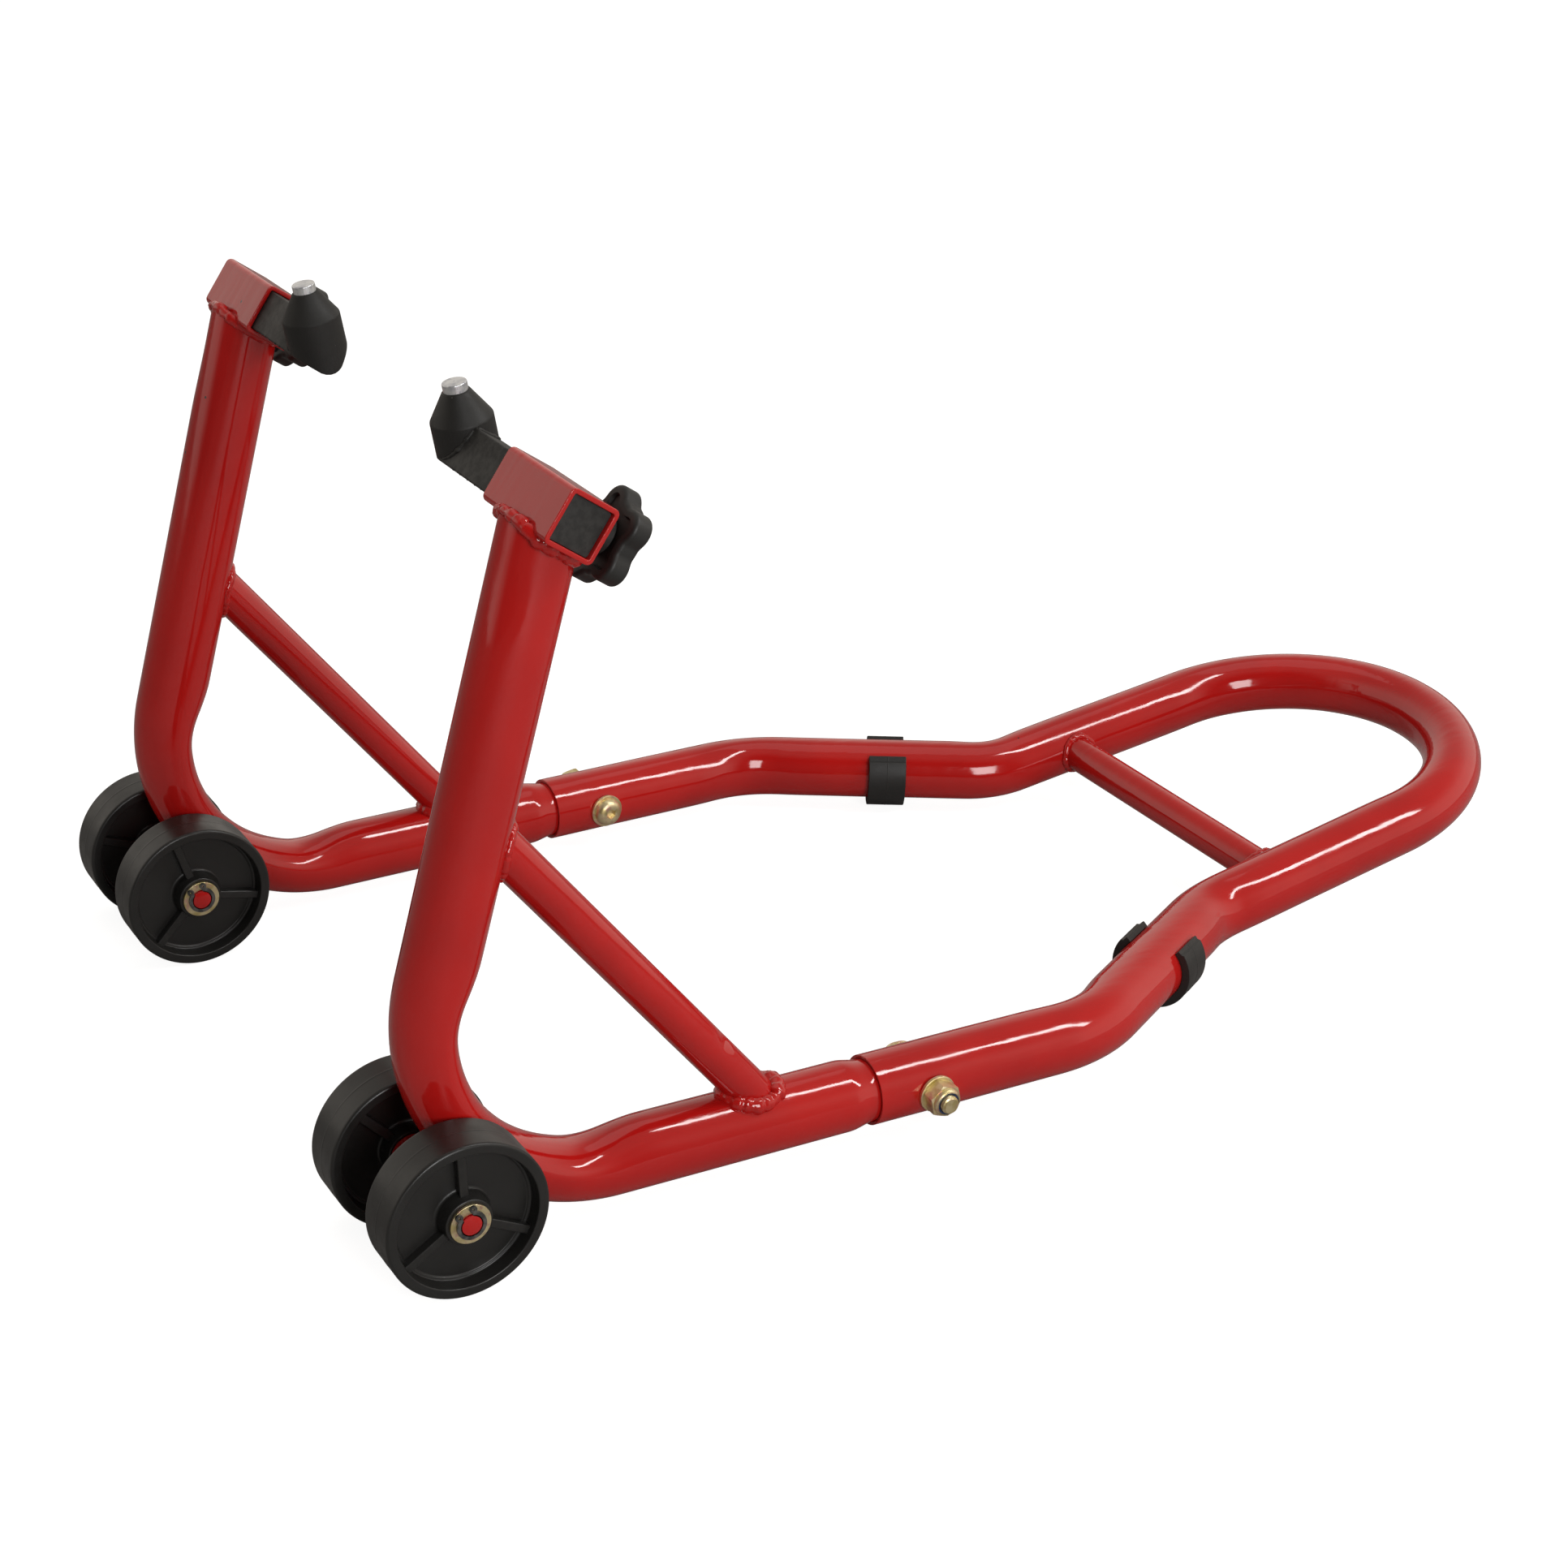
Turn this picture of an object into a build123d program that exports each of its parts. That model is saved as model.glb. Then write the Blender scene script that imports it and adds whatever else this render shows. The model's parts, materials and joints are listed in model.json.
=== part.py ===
from build123d import *
from math import asin, atan2, cos, hypot, pi, radians, sin, sqrt, tan
import os

# Front paddock stand for a motorcycle, with two sliding lifting heads on leaning arms,
# a wheeled lower frame and a hoop handle bolted to it. Millimetres, +Z up, +X to the handle.
# Lengths along X are counted from the wheel axle and shifted at the end, so that the
# origin lies in the middle of the stand's footprint, on the floor.

# Main tube, shared by the two arm tubes and the handle
tube_d = 38.0
tube_wall = 2.0

# Arm tube: leaning arm, bottom bend and lower rail
arm_y = 185.0
arm_lean = 14.3
arm_bend_radius = 96.5
axle_standoff = 29.3
rail_flare = 1.24
rail_z = 24.0

# Bolted joint between the arm tube and the handle
joint_x = 244.7
swage_length = 15.0
spigot_length = 62.0
spigot_gap = 0.15
bolt_from_edge = 32.5

# Handle: outer bend, neck bend, rising hoop
outer_bend_x = 388.5
outer_bend_radius = 94.5
neck_x = 532.0
neck_half_width = 113.3
neck_bend_radius = 69.0
rise_angle = 9.4
rise_length = 256.5
hoop_radius = 108.3

# Light tube, shared by the braces, the cross tube and the axle sleeves
light_tube_d = 22.0
light_tube_wall = 1.8
brace_z = 226.1
brace_slope = 50.8
cross_x = 587.5

# Wheels and axles
wheel_d = 84.0
wheel_width = 26.5
wheel_gap = 1.5
wheel_edge = 1.6
wheel_play = 0.25
axle_d = 11.5
axle_gap = 0.08
axle_end = 3.7
axle_chamfer = 0.8
rim_wall = 5.6
rim_draft = 1.0
web_depth = 8.5
hub_d = 25.0
hub_draft = 1.2
rib_width = 5.0
rib_depth = 4.0
rib_turn = -27.0
wheel_washer_d = 21.0
wheel_washer_t = 1.5
circlip_t = 1.2
circlip_ring = 1.9
circlip_opening = 5.2
circlip_turn = 111.0
lug_spacing = 7.8
lug_d = 3.8
lug_hole_d = 1.4
groove_depth = 0.6

# Square bar and its housing
bar_side = 22.5
bar_wall = 2.0
bar_corner = 1.2
slide_gap = 0.25
housing_wall = 2.5
housing_corner = 3.2
housing_length = 64.0
housing_offset = 4.65
housing_y = 182.0
housing_z = 371.0
housing_turn = 33.7
bar_recess = 2.4
plug_cap = 2.2
plug_depth = 10.0
plug_wall = 2.0

# Lifting head and pin
head_y = 94.5
head_d = 30.5
head_base = 16.2
cone_height = 13.8
cone_top_d = 13.2
pin_d = 12.0
pin_out = 4.2
pin_chamfer = 0.6
pin_shank_d = 10.0
pin_shank_gap = 0.05
pin_socket = 18.0

# Clamp screw, weld nut and star knob
screw_d = 8.0
screw_gap = 0.08
screw_chamfer = 0.7
tip_gap = 0.1
nut_flats = 13.0
nut_height = 6.5
nut_to_knob = 0.7
clamp_y = 187.0
knob_boss_h = 6.0
knob_boss_d = 19.0
knob_thickness = 10.5
knob_cover = 3.0
knob_bore_gap = 0.3
knob_d = 49.0
knob_waist = 38.5
knob_lobes = 5
knob_lobe_r = 8.2
knob_valley_r = 5.5
knob_phase = 15.5

# Joint bolt, washers and lock nut
bolt_d = 10.0
bolt_hole_gap = 0.25
bolt_head_d = 17.4
bolt_head_h = 5.4
bolt_crown_d = 10.8
bolt_rim_h = 1.0
bolt_socket = 5.8
bolt_socket_depth = 3.2
bolt_chamfer = 1.0
bolt_washer_d = 20.8
bolt_washer_t = 2.0
lock_nut_flats = 16.6
lock_nut_h = 8.0
lock_collar_d = 15.2
lock_collar_h = 2.4
nylon_ring_d = 13.2
nylon_ring_h = 2.0
bolt_end = 2.6

# Floor clip under the slanting part of the handle tube
clip_x = 471.0
clip_width = 24.0
clip_wrap = 270.0

tube_r = tube_d / 2
clip_wall = rail_z - tube_r
wheel_r = wheel_d / 2
wheel_offset = tube_r + wheel_gap
hoop_end_x = neck_x + rise_length * cos(radians(rise_angle))
x_shift = (wheel_r - (hoop_end_x + tube_r)) / 2

os.makedirs("parts", exist_ok=True)


def mirror_right(shape):
    """The same piece on the +Y side."""
    return shape.mirror(Plane.XZ)


def save(shape, name):
    export_step(Pos(x_shift, 0, 0) * shape, f"parts/{name}.step")


def save_pair(shape, name):
    save(shape, f"left_{name}")
    save(mirror_right(shape), f"right_{name}")


def sweep_tube(path, diameter, wall=0):
    """Round tube, or a solid bar when no wall is given, along a path."""
    ring = (path ^ 0) * Circle(diameter / 2)
    if wall:
        ring -= (path ^ 0) * Circle(diameter / 2 - wall)
    return sweep(ring, path)


def rod(start, direction, diameter, length, end_diameter=None):
    """Cylinder, or cone, from a point along a direction."""
    plane = Plane(origin=start, z_dir=direction)
    flat = (Align.CENTER, Align.CENTER, Align.MIN)
    if end_diameter is None:
        return plane * Cylinder(diameter / 2, length, align=flat)
    return plane * Cone(diameter / 2, end_diameter / 2, length, align=flat)


def along(start, direction, distance):
    return Vector(start) + Vector(direction).normalized() * distance


def end_edges(shape, direction):
    """Edges of the face that lies furthest along a direction."""
    return shape.faces().sort_by(lambda face: face.center().dot(direction))[-1].edges()


# ---- centrelines of the left side (-Y) ------------------------------------------------
lean = radians(arm_lean)
flare = radians(rail_flare)
arm_dir = Vector(sin(lean), 0, cos(lean))
rail_dir = Vector(cos(flare), -sin(flare), 0)
# the axle lies outside the bottom bend, at axle_standoff from the tube's centreline
bend_reach = arm_bend_radius + axle_standoff
bend_centre_x = sqrt(bend_reach**2 - (rail_z + arm_bend_radius - wheel_r) ** 2)
arm_corner_x = bend_centre_x - arm_bend_radius * tan((pi / 2 + lean) / 2)
arm_corner = Vector(arm_corner_x, -arm_y, rail_z)


def rail_point(x):
    """Point on the lower rail's centreline at a distance x from the axle."""
    return along(arm_corner, rail_dir, (x - arm_corner_x) / cos(flare))


arm_top = along(arm_corner, arm_dir, (housing_z - rail_z) / cos(lean))
joint_point = rail_point(joint_x)
swage_point = along(joint_point, rail_dir, -swage_length)
arm_path = FilletPolyline(arm_top, arm_corner, swage_point, radius=arm_bend_radius)
housing_x = arm_top.X + housing_offset

outer_corner = rail_point(outer_bend_x)
neck_corner = Vector(neck_x, -neck_half_width, rail_z)
centre_run = rise_length - hoop_radius
centre_reach = hypot(centre_run, neck_half_width)
taper = atan2(neck_half_width, centre_run) - asin(hoop_radius / centre_reach)
tangent_run = sqrt(centre_reach**2 - hoop_radius**2)
rise = radians(rise_angle)


def hoop_point(run, y):
    """Point in the rising plane of the hoop, run mm up from the neck."""
    return Vector(neck_x + run * cos(rise), y, rail_z + run * sin(rise))


hoop_left = hoop_point(tangent_run * cos(taper), -(neck_half_width - tangent_run * sin(taper)))
hoop_right = Vector(hoop_left.X, -hoop_left.Y, hoop_left.Z)
hoop_end = hoop_point(rise_length, 0)


def handle_side(turn):
    """Rail, outer bend, neck and side of the hoop; turn is 1 on the left, -1 on the right."""
    corners = [joint_point, outer_corner, neck_corner, hoop_left]
    return FilletPolyline(
        *[(c.X, turn * c.Y, c.Z) for c in corners], radius=[outer_bend_radius, neck_bend_radius]
    )


hoop_arc = ThreePointArc(hoop_left, hoop_end, hoop_right)
handle_path = Wire([*handle_side(1).edges(), hoop_arc.edge(), *handle_side(-1).edges()])


# ---- bolted joint ---------------------------------------------------------------------
bolt_dir = Vector(-sin(flare), -cos(flare), 0)
bolt_centre = along(joint_point, rail_dir, bolt_from_edge)
bolt_hole = rod(along(bolt_centre, bolt_dir, -tube_d), bolt_dir, bolt_d + 2 * bolt_hole_gap, 2 * tube_d)
bolt_hole_right = mirror_right(bolt_hole)


# ---- arm tube, housing, brace, handle and cross tube ------------------------------------
turn = radians(housing_turn)
clamp_dir = Vector(cos(turn), 0, -sin(turn))
cover_dir = Vector(sin(turn), 0, cos(turn))
housing_side = bar_side + 2 * slide_gap + 2 * housing_wall
housing_centre = Vector(housing_x, -housing_y, housing_z)


def square_plane(y):
    """Cross-section plane of the bar at a distance y from the middle, looking outwards."""
    return Plane(origin=(housing_x, -y, housing_z), x_dir=clamp_dir, z_dir=(0, -1, 0))


def square_run(side, corner, y_from, y_to):
    """Square bar with rounded corners between two distances from the middle."""
    profile = RectangleRounded(side, side, corner) if corner else Rectangle(side, side)
    return extrude(square_plane(y_from) * profile, y_to - y_from)


def above_arm():
    """Everything above the plane of the housing's lower front face."""
    under = along(housing_centre, cover_dir, -housing_side / 2)
    plane = Plane(origin=under, x_dir=clamp_dir, z_dir=cover_dir)
    return plane * Box(4 * tube_d, 4 * tube_d, 4 * tube_d, align=(Align.CENTER, Align.CENTER, Align.MIN))


def make_arm_tube():
    tube = sweep_tube(arm_path, tube_d, tube_wall)
    spigot_d = tube_d - 2 * tube_wall - 2 * spigot_gap
    neck = rod(swage_point, rail_dir, tube_d, swage_length, spigot_d)
    neck -= rod(swage_point, rail_dir, tube_d - 2 * tube_wall, swage_length, spigot_d - 2 * tube_wall)
    spigot = rod(joint_point, rail_dir, spigot_d, spigot_length)
    spigot -= rod(joint_point, rail_dir, spigot_d - 2 * tube_wall, spigot_length)
    return tube + neck + spigot - bolt_hole - above_arm()


def make_housing():
    ends = (housing_y - housing_length / 2, housing_y + housing_length / 2)
    bore = bar_side + 2 * slide_gap
    sleeve = square_run(housing_side, housing_corner, *ends)
    sleeve -= square_run(bore, housing_corner - housing_wall, *ends)
    return sleeve - rod(clamp_centre, clamp_dir, screw_d + 2 * screw_gap, housing_side)


def make_brace():
    drop = brace_z - rail_z
    start = along(arm_corner, arm_dir, drop / cos(lean))
    line = rail_point(start.X + drop / tan(radians(brace_slope))) - start
    tube = rod(start, line, light_tube_d, line.length)
    tube -= rod(start, line, light_tube_d - 2 * light_tube_wall, line.length)
    pieces = (tube - arm_solid).solids()
    return max(pieces, key=lambda piece: piece.volume)


def make_handle():
    return sweep_tube(handle_path, tube_d, tube_wall) - bolt_hole - bolt_hole_right


def make_cross_tube():
    centre = hoop_point((cross_x - neck_x) / cos(rise), 0)
    start = (centre.X, -neck_half_width, centre.Z)
    tube = rod(start, (0, 1, 0), light_tube_d, 2 * neck_half_width)
    tube -= rod(start, (0, 1, 0), light_tube_d - 2 * light_tube_wall, 2 * neck_half_width)
    pieces = (tube - sweep_tube(handle_path, tube_d)).solids()
    return max(pieces, key=lambda piece: piece.volume)


# ---- wheels on their axle -----------------------------------------------------------
axle_half = wheel_offset + wheel_width + axle_end


def ring_at(y, outer_d, inner_d, thickness):
    """Ring round the axle line from y outwards, y counted from the arm's middle plane."""
    start = (0, -arm_y - y, wheel_r)
    ring = rod(start, (0, -1, 0), outer_d, thickness)
    return ring - rod(start, (0, -1, 0), inner_d, thickness)


def both_ends(shape):
    """The piece on the outer end of the axle and its mirror on the inner end."""
    return [shape, shape.mirror(Plane(origin=(0, -arm_y, 0), z_dir=(0, 1, 0)))]


def make_wheel():
    hub_r = hub_d / 2
    bore_r = axle_d / 2 + axle_gap
    rim_r = wheel_r - rim_wall
    middle = wheel_width / 2
    outline = Polyline(
        (bore_r, 0), (hub_r, 0), (hub_r + hub_draft, web_depth), (rim_r - rim_draft, web_depth), (rim_r, 0),
        (wheel_r - wheel_edge, 0), (wheel_r, wheel_edge), (wheel_r, middle), (bore_r, middle), close=True,
    )
    half = revolve(Plane.XZ * make_face(outline), Axis.Z)
    for step in range(3):
        rib = Box(rim_r - hub_r, rib_width, web_depth - rib_depth, align=(Align.MIN, Align.CENTER, Align.MIN))
        half += Rot(0, 0, rib_turn + 120 * step) * Pos(hub_r, 0, rib_depth) * rib
    body = half + half.mirror(Plane(origin=(0, 0, middle)))
    place = Plane(origin=(0, -arm_y - wheel_offset - wheel_width, wheel_r), x_dir=(1, 0, 0), z_dir=(0, 1, 0))
    return place * body


def make_axle():
    start = (0, -arm_y - axle_half, wheel_r)
    pin = chamfer(rod(start, (0, 1, 0), axle_d, 2 * axle_half).edges(), axle_chamfer)
    for groove in both_ends(ring_at(circlip_y, axle_d + 2, axle_d - 2 * groove_depth, circlip_t)):
        pin -= groove
    return pin


def make_circlip():
    groove_d = axle_d - 2 * groove_depth
    reach = axle_d / 2 + circlip_ring
    centre = (0, -arm_y - circlip_y, wheel_r)
    opening_dir = (cos(radians(circlip_turn)), 0, sin(radians(circlip_turn)))
    plane = Plane(origin=centre, x_dir=opening_dir, z_dir=(0, -1, 0))
    low = (Align.CENTER, Align.CENTER, Align.MIN)
    opening = plane * Pos(reach, 0, 0) * Box(2 * reach, circlip_opening, circlip_t, align=low)
    clip = ring_at(circlip_y, axle_d + 2 * circlip_ring, groove_d, circlip_t) - opening
    stem = rod(centre, (0, -1, 0), groove_d, circlip_t)
    for side in (-1, 1):
        place = plane * Pos(reach, side * lug_spacing / 2, 0)
        clip += place * Cylinder(lug_d / 2, circlip_t, align=low) - stem
        clip -= place * Cylinder(lug_hole_d / 2, circlip_t, align=low)
    return clip


washer_y = wheel_offset + wheel_width + wheel_play
circlip_y = washer_y + wheel_washer_t
sleeve_half = wheel_offset - wheel_play


# ---- slide bar, head, pin and clamp ---------------------------------------------------
head_tilt = radians(45 - housing_turn)
head_dir = Vector(-sin(head_tilt), 0, cos(head_tilt))
head_centre = Vector(housing_x, -head_y, housing_z)
head_seat = along(head_centre, head_dir, head_base)
pin_start = along(head_seat, head_dir, cone_height - pin_socket)
bar_end_y = housing_y + housing_length / 2 - bar_recess
clamp_centre = Vector(housing_x, -clamp_y, housing_z)
knob_start = housing_side / 2 + nut_height + nut_to_knob
screw_end = knob_start + knob_boss_h + knob_thickness - knob_cover


def make_slide_bar():
    inner_side = bar_side - 2 * bar_wall
    bar = square_run(bar_side, bar_corner, head_y, bar_end_y - plug_cap)
    bar -= square_run(inner_side, 0, head_y, bar_end_y)
    return bar - rod(along(head_centre, head_dir, -2 * head_d), head_dir, head_d, 4 * head_d)


def make_bar_plug():
    inner_side = bar_side - 2 * bar_wall
    cap = square_run(bar_side, bar_corner, bar_end_y - plug_cap, bar_end_y)
    body_ends = (bar_end_y - plug_cap - plug_depth, bar_end_y - plug_cap)
    skirt = square_run(inner_side, 0, *body_ends) - square_run(inner_side - 2 * plug_wall, 0, *body_ends)
    return cap + skirt


def make_head():
    column = rod(along(head_centre, head_dir, -head_d), head_dir, head_d, head_base + head_d)
    cone = rod(head_seat, head_dir, head_d, cone_height, cone_top_d)
    keep_side = bar_side + head_d
    flush = square_plane(head_y - head_d) * Pos(-head_d / 2, head_d / 2, 0) * Rectangle(keep_side, keep_side)
    trimmed = column & extrude(flush, 2 * head_d)
    socket_d = pin_shank_d + 2 * pin_shank_gap
    return trimmed + cone - rod(pin_start, head_dir, socket_d, pin_socket)


def make_lifting_pin():
    disc = rod(along(head_seat, head_dir, cone_height), head_dir, pin_d, pin_out)
    disc = chamfer(end_edges(disc, head_dir), pin_chamfer)
    return disc + rod(pin_start, head_dir, pin_shank_d, pin_socket)


def knob_outline():
    """Star with round lobes: a waist circle and lobes whose tips lie on the knob's diameter."""
    reach = knob_d / 2 - knob_lobe_r
    outline = Circle(knob_waist / 2)
    for lobe in range(knob_lobes):
        outline += Rot(0, 0, knob_phase + 360 / knob_lobes * lobe) * Pos(reach, 0) * Circle(knob_lobe_r)
    return fillet(outline.vertices(), knob_valley_r)


def make_knob():
    plane = Plane(origin=along(clamp_centre, clamp_dir, knob_start), x_dir=cover_dir, z_dir=clamp_dir)
    boss = plane * Cylinder(knob_boss_d / 2, knob_boss_h, align=(Align.CENTER, Align.CENTER, Align.MIN))
    star = extrude(plane * Pos(0, 0, knob_boss_h) * knob_outline(), knob_thickness)
    bore_depth = screw_end - knob_start + knob_bore_gap
    return boss + star - rod(plane.origin, clamp_dir, screw_d + 2 * knob_bore_gap, bore_depth)


def make_screw():
    start = along(clamp_centre, clamp_dir, bar_side / 2 + tip_gap)
    return chamfer(rod(start, clamp_dir, screw_d, screw_end - bar_side / 2 - tip_gap).edges(), screw_chamfer)


def make_weld_nut():
    start = along(clamp_centre, clamp_dir, housing_side / 2)
    plane = Plane(origin=start, x_dir=cover_dir, z_dir=clamp_dir)
    nut = extrude(plane * RegularPolygon(nut_flats / 2, 6, major_radius=False), nut_height)
    return nut - rod(start, clamp_dir, screw_d + 2 * screw_gap, nut_height)


# ---- joint fasteners --------------------------------------------------------------------
def bolt_plane(distance):
    """Plane across the bolt, a distance outwards from the tube's centreline."""
    return Plane(origin=along(bolt_centre, bolt_dir, distance), x_dir=rail_dir, z_dir=bolt_dir)


seat = tube_r + bolt_washer_t


def make_joint_bolt():
    length = 2 * seat + lock_nut_h + lock_collar_h + bolt_end
    shank = rod(along(bolt_centre, bolt_dir, -seat), bolt_dir, bolt_d, length)
    shank = chamfer(end_edges(shank, bolt_dir), bolt_chamfer)
    crown_h = bolt_head_h - bolt_rim_h
    back = along(bolt_centre, bolt_dir, -seat - bolt_head_h)
    head = rod(back, bolt_dir, bolt_crown_d, crown_h, bolt_head_d)
    head += rod(along(back, bolt_dir, crown_h), bolt_dir, bolt_head_d, bolt_rim_h)
    hexagon = bolt_plane(-seat - bolt_head_h) * RegularPolygon(bolt_socket / 2, 6, major_radius=False)
    return shank + head - extrude(hexagon, bolt_socket_depth)


def make_bolt_washers():
    washers = []
    for distance in (-seat, tube_r):
        start = along(bolt_centre, bolt_dir, distance)
        ring = rod(start, bolt_dir, bolt_washer_d, bolt_washer_t)
        washers.append(ring - rod(start, bolt_dir, bolt_d + 2 * bolt_hole_gap, bolt_washer_t))
    return Compound(washers)


def make_lock_nut():
    hexagon = bolt_plane(seat) * RegularPolygon(lock_nut_flats / 2, 6, major_radius=False)
    nut = extrude(hexagon, lock_nut_h) - rod(along(bolt_centre, bolt_dir, seat), bolt_dir, bolt_d, lock_nut_h)
    top = along(bolt_centre, bolt_dir, seat + lock_nut_h)
    collar = rod(top, bolt_dir, lock_collar_d, lock_collar_h)
    return nut + collar - rod(top, bolt_dir, nylon_ring_d, lock_collar_h)


def make_nylon_ring():
    start = along(bolt_centre, bolt_dir, seat + lock_nut_h)
    return rod(start, bolt_dir, nylon_ring_d, nylon_ring_h) - rod(start, bolt_dir, bolt_d, nylon_ring_h)


# ---- floor clip -------------------------------------------------------------------------
def make_floor_clip():
    line = neck_corner - outer_corner
    centre = along(outer_corner, line, (clip_x - outer_corner.X) / (line.X / line.length))
    start = along(centre, line, -clip_width / 2)
    ring = rod(start, line, tube_d + 2 * clip_wall, clip_width) - rod(start, line, tube_d, clip_width)
    half_gap = radians((360 - clip_wrap) / 2)
    across = 2 * tube_d * sin(half_gap)
    high = 2 * tube_d * cos(half_gap)
    gap = Polyline((0, 0), (across, high), (-across, high), close=True)
    plane = Plane(origin=start, x_dir=Vector(0, 0, 1).cross(line), z_dir=line)
    return ring - extrude(plane * make_face(gap), clip_width)


arm_solid = sweep_tube(arm_path, tube_d)

save_pair(make_arm_tube(), "arm_tube")
save_pair(make_housing(), "bar_housing")
save_pair(make_brace(), "brace")
save(make_handle(), "handle_tube")
save(make_cross_tube(), "cross_tube")

sleeve = ring_at(-sleeve_half, light_tube_d, axle_d, 2 * sleeve_half) - arm_solid
save_pair(sleeve, "axle_sleeve")
save_pair(make_axle(), "axle")
for place, wheel in zip(("outer", "inner"), both_ends(make_wheel())):
    save_pair(wheel, f"{place}_wheel")
washer = ring_at(washer_y, wheel_washer_d, axle_d, wheel_washer_t)
save_pair(Compound(both_ends(washer)), "wheel_washers")
save_pair(Compound(both_ends(make_circlip())), "circlips")

save_pair(make_slide_bar(), "slide_bar")
save_pair(make_bar_plug(), "bar_plug")
save_pair(make_head(), "lifting_head")
save_pair(make_lifting_pin(), "lifting_pin")
save_pair(make_weld_nut(), "clamp_nut")
save_pair(make_screw(), "clamp_screw")
save_pair(make_knob(), "clamp_knob")

save_pair(make_joint_bolt(), "joint_bolt")
save_pair(make_bolt_washers(), "bolt_washers")
save_pair(make_lock_nut(), "lock_nut")
save_pair(make_nylon_ring(), "nylon_ring")
save_pair(make_floor_clip(), "floor_clip")
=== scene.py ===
import json
import math
import random

import bmesh
import bpy
from mathutils import Matrix, Vector, noise


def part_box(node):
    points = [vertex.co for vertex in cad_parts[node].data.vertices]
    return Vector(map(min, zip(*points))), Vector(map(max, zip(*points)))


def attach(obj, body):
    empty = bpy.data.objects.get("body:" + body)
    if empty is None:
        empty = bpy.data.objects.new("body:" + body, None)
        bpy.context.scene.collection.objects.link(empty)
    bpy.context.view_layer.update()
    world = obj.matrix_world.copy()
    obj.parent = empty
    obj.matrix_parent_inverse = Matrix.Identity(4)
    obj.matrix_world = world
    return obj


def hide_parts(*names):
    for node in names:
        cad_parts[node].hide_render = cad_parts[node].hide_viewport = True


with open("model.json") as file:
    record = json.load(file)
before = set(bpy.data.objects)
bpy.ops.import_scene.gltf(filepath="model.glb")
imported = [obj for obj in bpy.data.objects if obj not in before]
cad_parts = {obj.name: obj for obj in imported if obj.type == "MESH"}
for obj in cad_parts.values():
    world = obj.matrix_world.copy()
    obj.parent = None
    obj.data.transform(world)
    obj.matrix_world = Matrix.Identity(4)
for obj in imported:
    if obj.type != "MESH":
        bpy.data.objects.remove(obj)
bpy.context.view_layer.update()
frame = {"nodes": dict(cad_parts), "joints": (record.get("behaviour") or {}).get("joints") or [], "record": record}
joints = {joint["name"]: joint for joint in frame["joints"]}
scene = bpy.context.scene

# Everything is built for the left side (-Y) and mirrored for the right one.
axleX = joints["left_outer_wheel_spin"]["pos_m"][0]
axleZ = joints["left_outer_wheel_spin"]["pos_m"][2]
outerWheelY = joints["left_outer_wheel_spin"]["pos_m"][1]
innerWheelY = joints["left_inner_wheel_spin"]["pos_m"][1]
armY = (outerWheelY + innerWheelY) / 2
clampDir = Vector(joints["left_clamp_advance"]["axis"]).normalized()
coverDir = Vector((-clampDir.z, 0, clampDir.x))
outDir = Vector((0, -1, 0))
forkPin = next(mount for mount in frame["record"]["mounts"] if mount["name"] == "left_fork_pin")
headDir = Vector(forkPin["axis"]).normalized()


def span(node, direction):
    # how far a CAD node reaches along a direction, lowest and highest
    reaches = [corner.co.dot(direction) for corner in frame["nodes"][node].data.vertices]
    return min(reaches), max(reaches)


def boxCentre(node):
    low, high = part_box(node)
    return (low + high) / 2


def smooth(value):
    value = max(0.0, min(1.0, value))
    return value * value * (3 - 2 * value)


def only(items, kind):
    return [item for item in items if isinstance(item, kind)]


def allOf(shape):
    return shape.verts[:] + shape.edges[:] + shape.faces[:]


def newMaterial(name):
    material = bpy.data.materials.new(name)
    material.use_nodes = True
    tree = material.node_tree
    shader = tree.nodes["Principled BSDF"]
    place = tree.nodes.new("ShaderNodeTexCoord")
    return material, tree, shader, place.outputs["Object"]


def newGroup(name, inputs, outputs):
    # every group takes a vector and some numbers, and gives numbers
    group = bpy.data.node_groups.new(name, "ShaderNodeTree")
    group.interface.new_socket(name="Vector", in_out="INPUT", socket_type="NodeSocketVector")
    for label, value in inputs.items():
        socket = group.interface.new_socket(name=label, in_out="INPUT", socket_type="NodeSocketFloat")
        socket.default_value = value
    for label in outputs:
        group.interface.new_socket(name=label, in_out="OUTPUT", socket_type="NodeSocketFloat")
    given, made = group.nodes.new("NodeGroupInput"), group.nodes.new("NodeGroupOutput")
    return group, given.outputs["Vector"], given.outputs, made


def give(tree, value, socket):
    # an input takes a number, a colour, or another node's output
    if isinstance(value, (int, float)):
        socket.default_value = value
    elif isinstance(value, tuple):
        socket.default_value = (*value, 1.0)
    else:
        tree.links.new(value, socket)


def giveAll(tree, node, values):
    for label, value in values.items():
        give(tree, value, node.inputs[label])


def noiseNode(tree, vector, scale, detail=2.0, roughness=0.5):
    node = tree.nodes.new("ShaderNodeTexNoise")
    giveAll(tree, node, {"Vector": vector, "Scale": scale, "Detail": detail, "Roughness": roughness})
    return node.outputs["Fac"]


def spread(tree, value, low, high, outLow=0.0, outHigh=1.0):
    node = tree.nodes.new("ShaderNodeMapRange")
    node.interpolation_type = "SMOOTHSTEP"
    giveAll(tree, node, {"Value": value, "From Min": low, "From Max": high, "To Min": outLow, "To Max": outHigh})
    return node.outputs["Result"]


def maths(tree, operation, first, second):
    node = tree.nodes.new("ShaderNodeMath")
    node.operation = operation
    for socket, value in zip(node.inputs, (first, second)):
        give(tree, value, socket)
    return node.outputs["Value"]


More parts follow.
